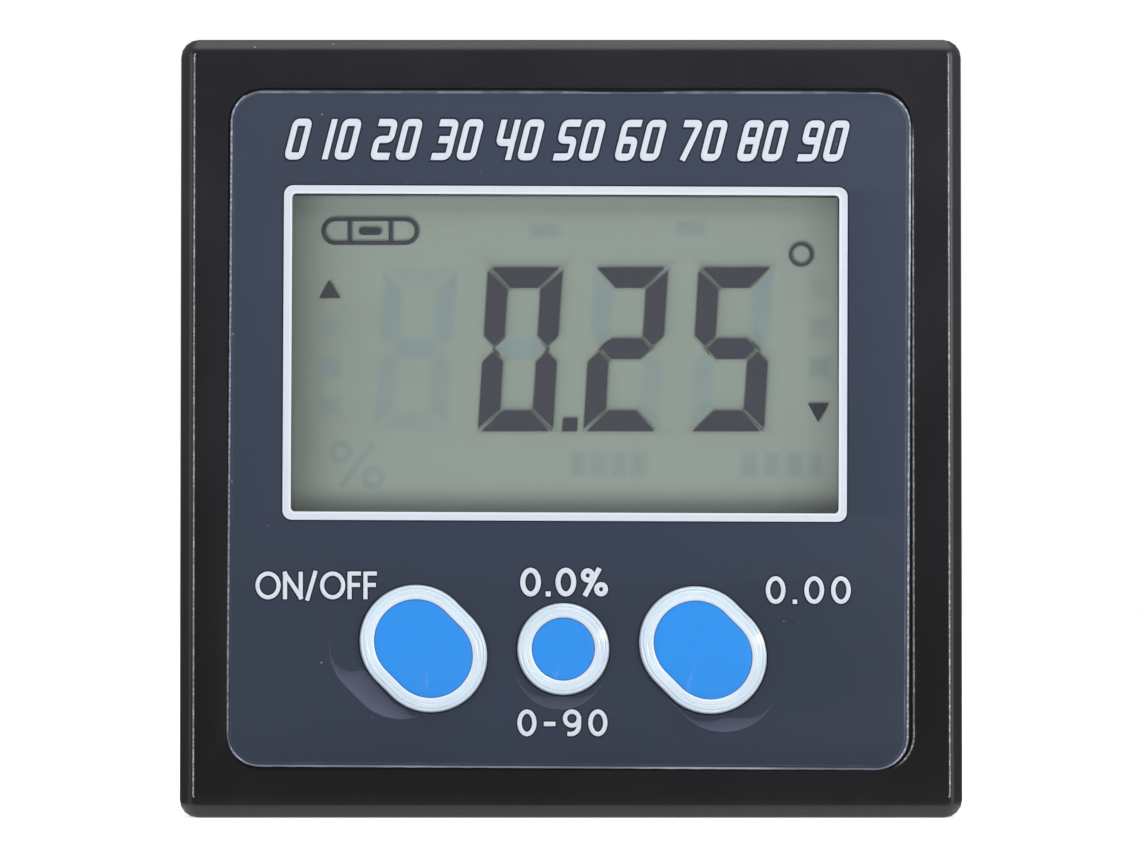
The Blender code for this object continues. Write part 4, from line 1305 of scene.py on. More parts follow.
def arc(cx: float, cz: float, rx: float, rz: float, start: float, end: float, steps: int) -> Loop:
    """Points along part of an ellipse, angles in degrees.

    Args:
        cx, cz: Its middle.
        rx, rz: Its half axes.
        start, end: Where the part starts and ends.
        steps: Number of straight pieces.

    Returns:
        The points.
    """
    points: Loop = []
    for step in range(steps + 1):
        angle = math.radians(start + (end - start) * step / steps)
        points.append((cx + rx * math.cos(angle), cz + rz * math.sin(angle)))
    return points


def bent(points: Sequence[Point], radius: float, steps: int = 4) -> Loop:
    """A line with its inner corners rounded.

    Args:
        points: Its corners.
        radius: How far before and after a corner the bend starts.
        steps: Pieces of each bend.

    Returns:
        The rounded line.
    """
    result: Loop = [points[0]]
    for before, here, after in zip(points, points[1:], points[2:]):
        a, b, c = Vector(before), Vector(here), Vector(after)
        start = b + (a - b).normalized() * min(radius, (a - b).length / 2)
        end = b + (c - b).normalized() * min(radius, (c - b).length / 2)
        for step in range(steps + 1):
            t = step / steps
            point = start * (1 - t) ** 2 + b * 2 * t * (1 - t) + end * t * t
            result.append((point.x, point.y))
    result.append(points[-1])
    return result


@dataclass(frozen=True)
class Glyph:
    """A sign drawn with strokes in a cell one unit high."""

    width: float
    strokes: tuple[tuple[Point, ...], ...]


def glyph(width: float, *strokes: Sequence[Point]) -> Glyph:
    """Put strokes together into a sign."""
    return Glyph(width, tuple(tuple(stroke) for stroke in strokes))


def round_signs() -> dict[str, Glyph]:
    """Round signs for the keys' legends.

    Returns:
        Each sign's strokes.
    """
    ring = arc(0.5, 0.5, 0.5, 0.5, 90, 450, 24)
    small = arc(0.19, 0.78, 0.19, 0.2, 0, 360, 12)
    low = [(x + 0.56, z - 0.58) for x, z in small]
    return {
        "O": glyph(0.89, [(x * 0.89, z) for x, z in ring]),
        "N": glyph(0.66, [(0, 0), (0, 1), (0.66, 0), (0.66, 1)]),
        "/": glyph(0.36, [(0.02, -0.06), (0.34, 1.04)]),
        "F": glyph(0.4, [(0.4, 1), (0, 1), (0, 0)], [(0, 0.52), (0.36, 0.52)]),
        "0": glyph(0.66, [(x * 0.66, z) for x, z in ring]),
        "9": glyph(
            0.62,
            arc(0.31, 0.69, 0.31, 0.31, 0, 360, 20),
            [(0.62, 0.69)] + arc(0.26, 0.38, 0.36, 0.38, 0, -100, 8),
        ),
        ".": glyph(0.02, [(0.0, 0.0), (0.02, 0.0)]),
        "-": glyph(0.34, [(0, 0.45), (0.34, 0.45)]),
        "%": glyph(0.75, [(0.64, 1.0), (0.11, 0.0)], small, low),
    }


def square_signs() -> dict[str, Glyph]:
    """Squarish numbers for the scale above the window.

    Returns:
        Each sign's strokes.
    """
    w = 0.4
    bend = 0.13
    box = bent([(w / 2, 1), (0, 1), (0, 0), (w, 0), (w, 1), (w / 2, 1)], bend)
    return {
        "0": glyph(w, box),
        "1": glyph(0.06, [(0.06, 1.0), (0.06, 0.0)]),
        "2": glyph(w, bent([(0, 1), (w, 1), (w, 0.5), (0, 0.5), (0, 0), (w, 0)], bend)),
        "3": glyph(w, bent([(0, 1), (w, 1), (w, 0), (0, 0)], bend), [(0.1, 0.5), (w, 0.5)]),
        "4": glyph(w, bent([(0, 1), (0, 0.42), (w, 0.42)], bend), [(w, 1), (w, 0)]),
        "5": glyph(w, bent([(w, 1), (0, 1), (0, 0.5), (w, 0.5), (w, 0), (0, 0)], bend)),
        "6": glyph(w, bent([(w, 1), (0, 1), (0, 0), (w, 0), (w, 0.5), (0, 0.5)], bend)),
        "7": glyph(w, bent([(0, 1), (w, 1), (w * 0.4, 0)], bend)),
        "8": glyph(w, box, [(0, 0.5), (w, 0.5)]),
        "9": glyph(w, bent([(w, 0.5), (0, 0.5), (0, 1), (w, 1), (w, 0), (0, 0)], bend)),
        " ": glyph(0.0),
    }


@dataclass(frozen=True)
class Legend:
    """A row of signs printed on the face, between the ends of its ink.

    tall is how much thicker its level strokes are than its upright ones.
    """

    signs: str
    left: float
    right: float
    bottom: float
    top: float
    stroke: float
    slant: float = 0.0
    turn: float = 0.0
    tall: float = 1.0

    def strokes(self, alphabet: dict[str, Glyph]) -> list[Loop]:
        """Where each stroke's middle line runs on the face.

        Args:
            alphabet: The signs' strokes.

        Returns:
            The lines, as (x, z).
        """
        half = self.stroke / 2
        height = self.top - self.bottom - self.stroke * self.tall
        room = self.right - self.left - self.stroke
        widths = [alphabet[sign].width * height for sign in self.signs]
        gap = (room - sum(widths)) / max(1, len(widths) - 1)
        middle = (self.left + self.right) / 2
        lines: list[Loop] = []
        x = self.left + half
        for sign, width in zip(self.signs, widths):
            for stroke in alphabet[sign].strokes:
                line = [(x + a * height - middle, (b - 0.5) * height) for a, b in stroke]
                line = moved(line, middle, (self.bottom + self.top) / 2, self.turn)
                lines.extend(split_sharp(line))
            x += width + gap
        return lines

    def shear(self) -> Matrix:
        """The transform that slants the printed row about its middle height.

        Returns:
            The transform.
        """
        lean = Matrix.Identity(4)
        lean[0][2] = math.tan(self.slant)
        lean[0][3] = -math.tan(self.slant) * (self.bottom + self.top) / 2
        return lean


def reaching(line: Sequence[Point], more: float) -> Loop:
    """The line with both ends drawn out straight by some more.

    Args:
        line: Its points.
        more: By how much.

    Returns:
        The longer line.
    """
    ends = []
    for end, beside in ((line[0], line[1]), (line[-1], line[-2])):
        away = Vector(end) - Vector(beside)
        ends.append(tuple(Vector(end) + away.normalized() * more))
    return [ends[0], *line[1:-1], ends[1]]


class StrokePress:
    """Geometry Nodes that turn middle lines into square-ended printed strokes."""

    end_share = 0.42

    def __init__(self) -> None:
        """Build the tree once."""
        tree = bpy.data.node_groups.new("printed_strokes", "GeometryNodeTree")
        face = tree.interface
        face.new_socket("Print", in_out="OUTPUT", socket_type="NodeSocketGeometry")
        _, width, height, sides, ink = (
            face.new_socket(label, in_out="INPUT", socket_type=f"NodeSocket{kind}")
            for label, kind in (
                ("Lines", "Geometry"), ("Stroke Width", "Float"), ("Ink Height", "Float"),
                ("Sides", "Int"), ("Ink", "Material"),
            )
        )
        width.default_value, height.default_value, sides.default_value = 0.3 * MM, 0.02 * MM, 12
        self.sockets = [socket.identifier for socket in (width, height, sides, ink)]
        self.tree = tree
        graph = Graph(tree)
        give = graph.node("NodeGroupInput").outputs
        strokes = self.swept(graph, give, graph.product(give["Stroke Width"], 0.5))
        ratio = graph.math("DIVIDE", give["Ink Height"], give["Stroke Width"])
        flat = graph.wired("ShaderNodeCombineXYZ", {"X": 1.0, "Y": ratio, "Z": 1.0})
        feeds = {"Geometry": strokes, "Scale": flat.outputs[0]}
        press = graph.wired("GeometryNodeTransform", feeds)
        feeds = {"Geometry": press.outputs["Geometry"], "Material": give["Ink"]}
        paint = graph.wired("GeometryNodeSetMaterial", feeds)
        graph.wired("NodeGroupOutput", {"Print": paint.outputs["Geometry"]})

    def swept(self, graph: Graph, give: Sockets, radius: Socket) -> Socket:
        """Round bars along the lines, with a ball at every bend.

        Args:
            graph: The tree's graph.
            give: What the tree is given.
            radius: Half a stroke's width.

        Returns:
            The bars.
        """
        feeds = {"Resolution": give["Sides"], "Radius": radius}
        ring = graph.wired("GeometryNodeCurvePrimitiveCircle", feeds).outputs["Curve"]
        feeds = {"Curve": give["Lines"], "Profile Curve": ring, "Fill Caps": True}
        sweep = graph.wired("GeometryNodeCurveToMesh", feeds)
        feeds = {"Segments": give["Sides"], "Rings": 6, "Radius": radius}
        ball = graph.wired("GeometryNodeMeshUVSphere", feeds).outputs["Mesh"]
        ends = graph.node("GeometryNodeCurveEndpointSelection").outputs["Selection"]
        within = graph.wired("FunctionNodeBooleanMath", {0: ends}, operation="NOT").outputs[0]
        feeds = {"Points": give["Lines"], "Instance": ball, "Selection": within}
        stand = graph.wired("GeometryNodeInstanceOnPoints", feeds)
        join = graph.wired("GeometryNodeJoinGeometry", {0: stand.outputs["Instances"]})
        graph.feed(join.inputs[0], sweep.outputs["Mesh"])
        return graph.wired("GeometryNodeRealizeInstances", {0: join.outputs[0]}).outputs[0]

    def run(
        self,
        name: str,
        lines: Iterable[Sequence[Point]],
        level: float,
        width: float,
        height: float,
        ink: Material,
        sides: int = 12,
        tall: float = 1.0,
    ) -> Piece:
        """Print lines on a plane that faces the reader.

        Args:
            name: The piece's name.
            lines: Middle lines of the strokes, as (x, z).
            level: The plane's place along y.
            width: Width of a stroke.
            height: Thickness of the ink, half of it above the plane.
            ink: Its finish.
            sides: Faces round a stroke.
            tall: How much thicker level strokes are than upright ones.

        Returns:
            The printed piece, a plain mesh.
        """
        curve = bpy.data.curves.new(name, "CURVE")
        curve.dimensions = "3D"
        for line in lines:
            closed = len(line) > 3 and math.dist(line[0], line[-1]) < 0.001 * MM
            points = [(x, z / tall) for x, z in (line[:-1] if closed else line)]
            if not closed:
                points = reaching(points, width * self.end_share)
            add_spline(curve, [(x, 0.0, z) for x, z in points], closed)
        obj = linked(f"{name}_lines", curve)
        modifier = obj.modifiers.new("press", "NODES")
        modifier.node_group = self.tree
        for socket, value in zip(self.sockets, (width, height, sides, ink)):
            modifier[socket] = value
        mesh = final_mesh(obj)
        bpy.data.objects.remove(obj, do_unlink=True)
        mesh.transform(Matrix.Diagonal((1.0, 1.0, tall, 1.0)))
        mesh.transform(Matrix.Translation((0.0, level, 0.0)))
        mesh.shade_smooth()
        return linked(name, mesh)


# Sub-assemblies


@dataclass
class Case:
    """The moulded case, its cover, door, magnets and screws."""

    line_half: Point = (26.53 * MM, 26.1 * MM)
    line_middle: Point = (0.04 * MM, 27.6 * MM)
    middle: Point = (-0.06 * MM, 27.34 * MM)
    recess_half: Point = (24.09 * MM, 24.0 * MM)
    recess_corner: float = 2.5 * MM
    floor: float = -13.5 * MM
    bevel_turn: float = 0.2 * MM
    bevel_edge: float = -13.92 * MM
    bevel_from: float = 25.5 * MM
    side_from: float = 25.9 * MM
    wall_gap: float = 0.22 * MM
    wall_reach: float = 0.35 * MM
    wall_turn: float = 2.6 * MM

    def finish(self) -> CaseBlack:
        """The case's black, with its rubbed edges and the recess's lit lip.

        Returns:
            The finish.
        """
        # Painted highlights: lines by the face's sides and on the recess's right lip.
        upright = Glint(
            *self.line_half, self.line_middle, 0.1 * MM, 0.075 * MM,
            Sides(left=0.75, right=0.95), reach=0.12 * MM,
        )
        lip = Glint(
            self.recess_half[0] + 0.02 * MM, self.recess_half[1] + 0.04 * MM, self.middle,
            self.recess_corner, 0.085 * MM, Sides(right=0.55), reach=1.5 * MM, fineness=4200.0,
            span=(-1.0, 21.6 * MM),
        )
        return CaseBlack(
            "case_black_finish", srgb(22, 21, 27), 0.36, specular=0.45, dust=0.05,
            glints=(upright, lip),
        )

    def build(self) -> None:
        """Dress every part of the case."""
        black = self.finish().make()
        cover = MouldedPlastic(
            "cover_black_finish", srgb(22, 22, 25), 0.45, depth=0.01 * MM, specular=0.45
        ).make()
        steel = BareMetal("screw_steel", srgb(176, 174, 170), 0.32).make()
        nickel = BareMetal("magnet_nickel", srgb(196, 192, 184), 0.24, (900, 900, 900)).make()
        housing = merged_copy("housing", black, 60.0)
        self.fit_recess(housing)
        self.soften_front(housing)
        for node in ("rear_cover", "battery_door"):
            merged_copy(node, cover)
        LOG.info("case, cover and door dressed")
        for node in frame["nodes"]:
            if node.startswith("base_magnet"):
                merged_copy(node, nickel)
            elif "_screw_" in node:
                merged_copy(node, steel)
        LOG.info("magnets and screws dressed")

    def soften_front(self, housing: Piece) -> None:
        """Spread the turn from the face into the bevel, and keep the flats flat.

        Args:
            housing: The case's shell.
        """
        reach = self.bevel_turn
        for vert in housing.data.vertices:
            x, above = vert.co.x, vert.co.z - self.line_middle[1]
            outer = max(abs(x), abs(above)) > self.bevel_from
            if outer and abs(vert.co.y - self.bevel_edge) < 0.03 * MM:
                vert.co.x += math.copysign(reach, x) if abs(x) > self.side_from else 0.0
                vert.co.y += reach
                vert.co.z += math.copysign(reach, above) if abs(above) > self.side_from else 0.0
        weighted(housing)

    def fit_recess(self, housing: Piece) -> None:
        """Draw the recess's rim in by a hair, to where the film's gap shows.

        Args:
            housing: The case's shell.
        """
        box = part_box("face_overlay")
        middle_z = (box[0][2] + box[1][2]) / 2
        film_x, film_z = box[1][0], box[1][2] - middle_z
        for vert in housing.data.vertices:
            x, rise = vert.co.x, vert.co.z - middle_z
            beyond_x, beyond_z = abs(x) - film_x, abs(rise) - film_z
            inside = max(beyond_x, beyond_z) < self.wall_reach
            near_rim = max(beyond_x, beyond_z) > -self.wall_turn
            if vert.co.y < self.floor + 0.02 * MM and inside and near_rim:
                scale_x = self.recess_half[0] / (film_x + self.wall_gap)
                scale_z = self.recess_half[1] / (film_z + self.wall_gap)
                vert.co.x = self.middle[0] + x * scale_x
                vert.co.z = self.middle[1] + rise * scale_z


@dataclass(frozen=True)
class Sheen:
    """Where the crescent of painted reflection beside a key lies, and which part of it shows.

    The key's outline is moved by x and z and followed from start to end, in degrees. The
    crescent is widest halfway, or later with a greater lag, and cover is how clearly it shows.
    """

    x: float
    z: float
    start: float
    end: float
    width: float
    lag: float = 1.0
    cover: float = 1.0


@dataclass(frozen=True)
class Key:
    """One push key: its side, place, radius and stretch.

    streak is the painted reflection on its cap, a fan of light: start across, lower end and lean.
    """

    side: str
    x: float
    z: float
    radius: float
    stretch: float
    sheen: Sheen
    streak: Triple
    spark: bool = True

    def highlight_place(self) -> Point:
        """Where the painted highlight sits, at the rim's right end that catches the light.

        Returns:
            The place on the face.
        """
        angle, reach, shift = math.radians(20), self.radius - 0.2 * MM, self.stretch / 2
        x, z = self.x + shift, self.z - shift
        return (x + reach * math.cos(angle), z + reach * math.sin(angle))

    def gap(self, point: Point) -> float:
        """How far a place is outside the key's outline.

        Args:
            point: The place on the face.

        Returns:
            The distance, less than 0 inside it.
        """
        across, up = point[0] - self.x, point[1] - self.z
        along = (across - up) / math.sqrt(2)
        beside = (across + up) / math.sqrt(2)
        half = self.stretch / math.sqrt(2)
        return math.hypot(max(0.0, abs(along) - half), beside) - self.radius


@dataclass
class Keys:
    """The three push keys with their blue caps."""

    rim_width: float = 1.04 * MM
    cap_set_in: float = 0.1 * MM
    cap_thickness: float = 0.5 * MM
    shoulder: float = 0.3 * MM
    flange_front: float = -11.8 * MM
    flange_depth: float = 0.8 * MM
    flange_width: float = 0.5 * MM
    stem_radius: float = 1.5 * MM
    ring_count: float = 7.0
    ring_height: float = 0.006 * MM
    grooves: tuple[Triple, ...] = ((0.075 * MM, 0.74, 0.045), (0.02 * MM, 0.4, 0.035))
    rolled_share: float = 0.12
    fall_from: float = 0.78
    steps: int = 128
    members: tuple[Key, ...] = (
        Key(
            "left", -10.36 * MM, 11.89 * MM, 3.95 * MM, 1.06 * MM,
            Sheen(-2.1 * MM, -0.45 * MM, 160, 290, 3.2 * MM, lag=1.7),
            (0.25 * MM, -3.0 * MM, 0.0), False,
        ),
        Key(
            "middle", -0.54 * MM, 11.86 * MM, 3.23 * MM, 0.0,
            Sheen(-0.2 * MM, -1.0 * MM, 190, 345, 0.8 * MM, cover=0.6),
            (-0.2 * MM, -2.1 * MM, -0.35 * MM),
        ),
        Key(
            "right", 9.26 * MM, 11.79 * MM, 3.95 * MM, 1.06 * MM,
            Sheen(0.95 * MM, -1.25 * MM, 215, 335, 0.9 * MM, cover=0.85),
            (-0.6 * MM, -3.1 * MM, -0.5 * MM),
        ),
    )

    def rim(self, key: Key, top: float) -> list[Triple]:
        """The rim's section from its inner edge out to its side.

        Args:
            key: The key.
            top: The rim's crown, along y.

        Returns:
            Radius, depth and share across the rim of each point.
        """
        inner = key.radius - self.rim_width + 0.02 * MM
        width = key.radius - inner
        section = [(inner, top + self.cap_set_in + 0.06 * MM, 0.0)]
        marks = 56
        for mark in range(marks + 1):
            share = mark / marks
            roll = 0.1 * MM * max(0.0, 1 - share / self.rolled_share) ** 2
            ridge = self.ring_height * math.sin(share * 2 * math.pi * self.ring_count)
            groove = sum(
                deep * math.exp(-(((share - at) / wide) ** 2)) for deep, at, wide in self.grooves
            )
            past = max(0.0, (share - self.fall_from) / (1 - self.fall_from))
            fall = self.shoulder * past**2.4
            depth = top + 2 * self.ring_height + roll - ridge + groove + fall
            section.append((inner + width * share, max(top, depth), share))
        return section

    def build(self) -> None:
        """Build every key and cap."""
        # The rim's colours: painted shade at 0.74 and 1.0, a painted highlight at 0.86.
        tones_and_painted_light = (
            (0.0, srgb(234, 247, 255)), (0.3, srgb(230, 245, 255)), (0.42, srgb(224, 241, 255)),
            (0.62, srgb(226, 242, 255)), (0.74, srgb(209, 229, 251)), (0.86, srgb(232, 246, 255)),
            (1.0, srgb(208, 217, 233)),
        )
        white = KeyPlastic(
            "key_white_finish", srgb(214, 226, 243), 0.16, coat=1.0, ring_tones=tones_and_painted_light,
            painted_highlights=tuple(key.highlight_place() for key in self.members if key.spark),
            front=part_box("key_middle")[0][1],
        ).make()
        blue = KeyPlastic(
            "key_blue_finish", srgb(35, 147, 242), 0.42, coat=0.06, depth=0.001 * MM
        ).make()
        seam = Ink("cap_seam", srgb(88, 104, 178), 0.5).make()
        # A painted reflection, a faint fan of light, on each cap.
        streak = SoftShade("cap_reflection", srgb(190, 214, 244), 0.4, strength=0.14).make()
        for key in self.members:
            self.build_key(key, white)
            self.build_cap(key, blue, seam)
            self.build_streak(key, streak)
            dressed = MouldedPlastic(
                f"plunger_finish_{key.side}", srgb(60, 60, 62), 0.4, depth=0.003 * MM
            ).make()
            merged_copy(f"plunger_{key.side}", dressed)
            LOG.info("%s key built", key.side)

    def build_key(self, key: Key, material: Material) -> None:
        """One white key, from the cap's seat over the rim to its stem.

        Args:
            key: The key.
            material: Its finish.
        """
        low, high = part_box(f"key_{key.side}")
        top, back = low[1], high[1]
        seat = top + self.cap_set_in + self.cap_thickness + 0.1 * MM
        inner = key.radius - self.rim_width + 0.02 * MM
        section = [(inner * 0.5, seat, 0.0), (inner, seat, 0.0)] + self.rim(key, top)
        flange = key.radius + self.flange_width
        front, behind = self.flange_front, self.flange_front + self.flange_depth
        stem = self.stem_radius
        section += [
            (radius, depth, 1.0)
            for radius, depth in (
                (key.radius, front), (flange, front), (flange, behind), (stem, behind),
                (stem, back),
            )
        ]
        marks = [share for _, _, share in section]
        shape = self.turned(key, [(radius, depth) for radius, depth, _ in section], False, marks)
        obj = new_piece(f"key_rim_{key.side}", shape, material)
        smooth(obj, 50)
        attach(obj, f"{key.side}_key")
        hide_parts(f"key_{key.side}")

    def build_cap(self, key: Key, material: Material, seam: Material) -> None:
        """One blue cap, faintly crowned, with the thin seam round it.

        Args:
            key: The key.
            material: The cap's finish.
            seam: The seam's finish.
        """
        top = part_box(f"key_cap_{key.side}")[0][1]
        radius, crown = key.radius - self.rim_width, 0.004 * MM
        section = [(radius * share, top + crown * share**2) for share in (0.3, 0.6, 0.85)]
        section += [
            (radius - 0.07 * MM, top + crown),
            (radius - 0.035 * MM, top + 0.016 * MM),
            (radius - 0.01 * MM, top + 0.05 * MM),
            (radius, top + 0.1 * MM),
            (radius, top + self.cap_thickness),
        ]
        cap = new_piece(f"key_blue_cap_{key.side}", self.turned(key, section, False), material)
        smooth(cap, 40)
        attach(cap, f"{key.side}_key")
        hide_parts(f"key_cap_{key.side}")
        inner, outer = radius - 0.012 * MM, radius + 0.045 * MM
        section = [
            (outer, top + 0.05 * MM), (outer, top + 0.012 * MM),
            (inner, top + 0.012 * MM), (inner, top + 0.05 * MM),
        ]
        line = new_piece(f"key_seam_{key.side}", self.turned(key, section, True), seam)
        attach(line, f"{key.side}_key")

    def turned(
        self, key: Key, section: Sequence[Point], closed: bool, marks: Sequence[float] = ()
    ) -> Bmesh:
        """A section taken round a key's stretched outline.

        Args:
            key: The key.
            section: Radius and depth of each of its points.
            closed: Whether the section ends where it starts.
            marks: What to note on each point for the finish, if anything.

        Returns:
            The mesh.
        """
        rings = [
            (moved(stretched_round(radius, key.stretch, self.steps), key.x, key.z), depth)
            for radius, depth in section
        ]
        return skin(rings, closed, marks)

    def build_streak(self, key: Key, material: Material) -> None:
        """A painted reflection: the faint fan of light low on a cap.

        Args:
            key: The key.
            material: Its finish.
        """
        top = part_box(f"key_cap_{key.side}")[0][1]
        start, low, lean = key.streak
        high = -0.9 * MM
        grid = []
        for step in range(7):
            share = step / 6
            z = key.z + high + (low - high) * share
            x = key.x + start + lean * share
            half = (0.04 + 0.34 * share) * MM
            cover = min(1.0, 0.25 + share) * (1 - share**6)
            grid.append([(x - half, z, 0.0), (x, z, cover), (x + half * 0.5, z, 0.0)])
        fan = soft_grid(f"cap_reflection_{key.side}", [grid], top - 0.011 * MM, material)
        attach(fan, f"{key.side}_key")


@dataclass
class Face:
    """The printed film with its window border, legends and scale."""

    press: StrokePress
    film_half: Point = (23.95 * MM, 23.83 * MM)
    middle: Point = (-0.13 * MM, 27.32 * MM)
    turn: float = math.radians(-0.32)
    corner: float = 2.35 * MM
    window_middle: Point = (-0.404 * MM, 32.63 * MM)
    window_half: Point = (19.24 * MM, 11.186 * MM)
    window_corner: float = 0.3 * MM
    border_width: float = 0.585 * MM
    border_corner: float = 0.66 * MM
    border_turn: float = math.radians(-0.22)
    key_clearance: float = 0.085 * MM
    cut_edge: float = 0.035 * MM
    legends: tuple[Legend, ...] = (
        Legend("ON/OFF", -22.17 * MM, -13.61 * MM, 15.33 * MM, 17.31 * MM, 0.31 * MM),
        Legend("0.0%", -3.58 * MM, 2.3 * MM, 15.53 * MM, 17.58 * MM, 0.38 * MM),
        Legend("0-90", -3.78 * MM, 2.57 * MM, 5.73 * MM, 7.64 * MM, 0.33 * MM),
        Legend("0.00", 13.66 * MM, 19.66 * MM, 15.01 * MM, 16.98 * MM, 0.33 * MM),
    )
    scale: Legend = Legend(
        "0 10 20 30 40 50 60 70 80 90", -19.9 * MM, 19.38 * MM, 46.19 * MM, 49.11 * MM,
        0.44 * MM, slant=math.radians(14), turn=math.radians(-0.2), tall=1.22,
    )

    def build(self, keys: Keys) -> None:
        """Build the film and its print.

        Args:
            keys: The keys, whose outlines the film is cut round.
        """
        front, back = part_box("face_overlay")[0][1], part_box("face_overlay")[1][1]
        blue_grey = FacePrint(
            "face_film_finish", srgb(58, 67, 85), 0.34, edges=self.edge_highlights()
        ).make()
        window = rounded_box(*self.window_half, self.window_corner, 4)
        loops = [self.cut_outline(), moved(window, *self.window_middle)]
        for key in keys.members:
            outline = stretched_round(key.radius + self.key_clearance, key.stretch, 96)
            loops.append(moved(outline, key.x, key.z))
        film = self.cut_film("face_film", loops, front, back, blue_grey)
        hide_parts("face_overlay")
        LOG.info("film cut with %d openings", len(loops) - 1)
        pieces = [film, *self.print_border(front), *self.print_legends(front)]
        pieces += [self.shade_opening(back), *self.sheen(front, keys, blue_grey)]
        for piece in pieces:
            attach(piece, "gauge")

    def edge_highlights(self) -> tuple[Glint, ...]:
        """Painted highlights where the film's cut edge and the line inside it catch the light.

        Returns:
            A speckled, a plain, a bright, an upper and an inner line.
        """

        def line(
            inset: float, drop: float, width: float, sides: Sides, fineness: float,
            curl: float = 0.07 * MM, reach: float = 1.6 * MM, turn: float = self.turn,
            span: Point = (-1.0, 1.0),
        ) -> Glint:
            """A line inset from the film's edge, by more at its top and bottom.

            Args:
                inset: How far from the film's sides.
                drop: How far from its top and bottom.
                width: Half the line's width.
                sides: How strongly it shows on each side.
                fineness: How finely it is broken up.
                curl: How much tighter its corners are.
                reach: How far in it shows.
                turn: How far it is turned.
                span: Heights between which it shows.

            Returns:
                The line.
            """
            half_width, half_height = self.film_half
            return Glint(
                half_width - inset, half_height - drop, self.middle, self.corner - curl,
                width, sides, reach, fineness, span, turn,
            )

        return (
            line(0.07 * MM, 0.07 * MM, 0.11 * MM, Sides(left=0.66, right=0.66), 3600.0),
            line(0.07 * MM, 0.05 * MM, 0.13 * MM, Sides(bottom=0.62), 120.0),
            line(
                0.04 * MM, 0.04 * MM, 0.1 * MM, Sides(right=1.0), 900.0, 0.0, 1.0 * MM,
                span=(7.0 * MM, 21.8 * MM),
            ),
            line(0.1 * MM, 0.14 * MM, 0.12 * MM, Sides(top=0.26), 900.0, turn=self.turn / 4),
            line(
                0.3 * MM, 0.3 * MM, 0.07 * MM, Sides(left=0.03, right=0.15, bottom=0.05),
                300.0, 0.3 * MM,
            ),
        )

    def cut_outline(self) -> Loop:
        """The film's outline as its rough cut left it, a little low where a gap shows.

        Returns:
            Its points.
        """
        rough, gap, slope = 0.006 * MM, 0.12 * MM, 0.0042
        result: Loop = []
        for x, z in refined(rounded_box(*self.film_half, self.corner, 12), 0.5 * MM):
            wobble = math.sin(x * 9100 + z * 2300) + math.sin(z * 7300 - x * 3100)
            x += rough * wobble
            if z > self.film_half[1] - 0.4 * MM:
                place = (x + self.middle[0]) / MM
                dip = self.hump(place, 3.6, 3.3) + self.hump(place, 21.6, 2.4)
                z += 0.01 * MM - gap * min(1.0, dip) + slope * x
            result.append((x, z + rough * wobble))
        return moved(result, *self.middle, self.turn)

    def hump(self, value: float, middle: float, half: float) -> float:
        """1 around a middle, falling softly to 0 beyond its half width."""
        off = abs(value - middle) / half
        return 1 / (1 + off**6)

    def cut_film(
        self, name: str, loops: Sequence[Loop], front: float, back: float, material: Material
    ) -> Piece:
        """A film with openings and faintly rounded cut edges.

        Args:
            name: The piece's name.
            loops: Its outline and openings.
            front: Its front, along y.
            back: Its back, along y.
            material: Its finish.

        Returns:
            The film.
        """
        curve = bpy.data.curves.new(name, "CURVE")
        curve.dimensions = "2D"
        curve.fill_mode = "BOTH"
        curve.extrude = (back - front) / 2 - self.cut_edge
        curve.bevel_depth = self.cut_edge
        curve.bevel_resolution = 2
        curve.offset = -self.cut_edge
        for loop in loops:
            add_spline(curve, [(x, z, 0.0) for x, z in loop], True)
        shape = linked(f"{name}_outline", curve)
        mesh = final_mesh(shape)
        bpy.data.objects.remove(shape, do_unlink=True)
        mesh.transform(Matrix.Rotation(math.pi / 2, 4, "X"))
        mesh.transform(Matrix.Translation((0.0, (front + back) / 2, 0.0)))
        bm = bmesh.new()
        bm.from_mesh(mesh)
        bmesh.ops.remove_doubles(bm, verts=bm.verts, dist=0.0005 * MM)
        bpy.data.meshes.remove(mesh)
        film = new_piece(name, bm, material)
        smooth(film, 35)
        return film

    def framed(
        self, name: str, front: float, inner: float, outer: float, rise: float, ink: Material
    ) -> Piece:
        """Print one line of the window's border.

        Args:
            name: The piece's name.
            front: The film's front, along y.
            inner: Where it starts, measured outwards from the opening.
            outer: Where it ends.
            rise: How far it stands up.
            ink: Its finish.

        Returns:
            The line.
        """
        step = 0.004 * MM
        section = ((outer, step), (outer - step, -rise), (inner + step, -rise), (inner, step))
        half_width, half_height = self.window_half
        rings = []
        for reach, depth in section:
            share = max(0.0, reach) / self.border_width
            corner = self.window_corner + (self.border_corner - self.window_corner) * share
            loop = rounded_box(half_width + reach, half_height + reach, corner, 6)
            rings.append((moved(loop, *self.window_middle, self.border_turn), front + depth))
        return new_piece(name, skin(rings, True), ink)

    def print_border(self, front: float) -> list[Piece]:
        """Print the white lines round the window, with a painted shadow: their thin dark outline.

        Args:
            front: The film's front, along y.

        Returns:
            The lines.
        """
        white = Ink("border_ink", srgb(219, 225, 237), 0.3, uneven=0.04).make()
        bright = Ink("border_inner_ink", srgb(232, 236, 244), 0.28, uneven=0.03).make()
        # A painted shadow: the thin dark outline round the border.
        dark = Ink("border_shadow_ink", srgb(34, 39, 52), 0.4).make()
        width = self.border_width
        LOG.info("window border printed")
        return [
            self.framed(f"window_border{label}", front, inner, outer, rise, ink)
            for label, inner, outer, rise, ink in (
                ("_outline", -0.02 * MM, width + 0.1 * MM, 0.012 * MM, dark),
                ("", 0.0, width, 0.024 * MM, white),
                ("_inner", 0.0, 0.17 * MM, 0.034 * MM, bright),
            )
        ]

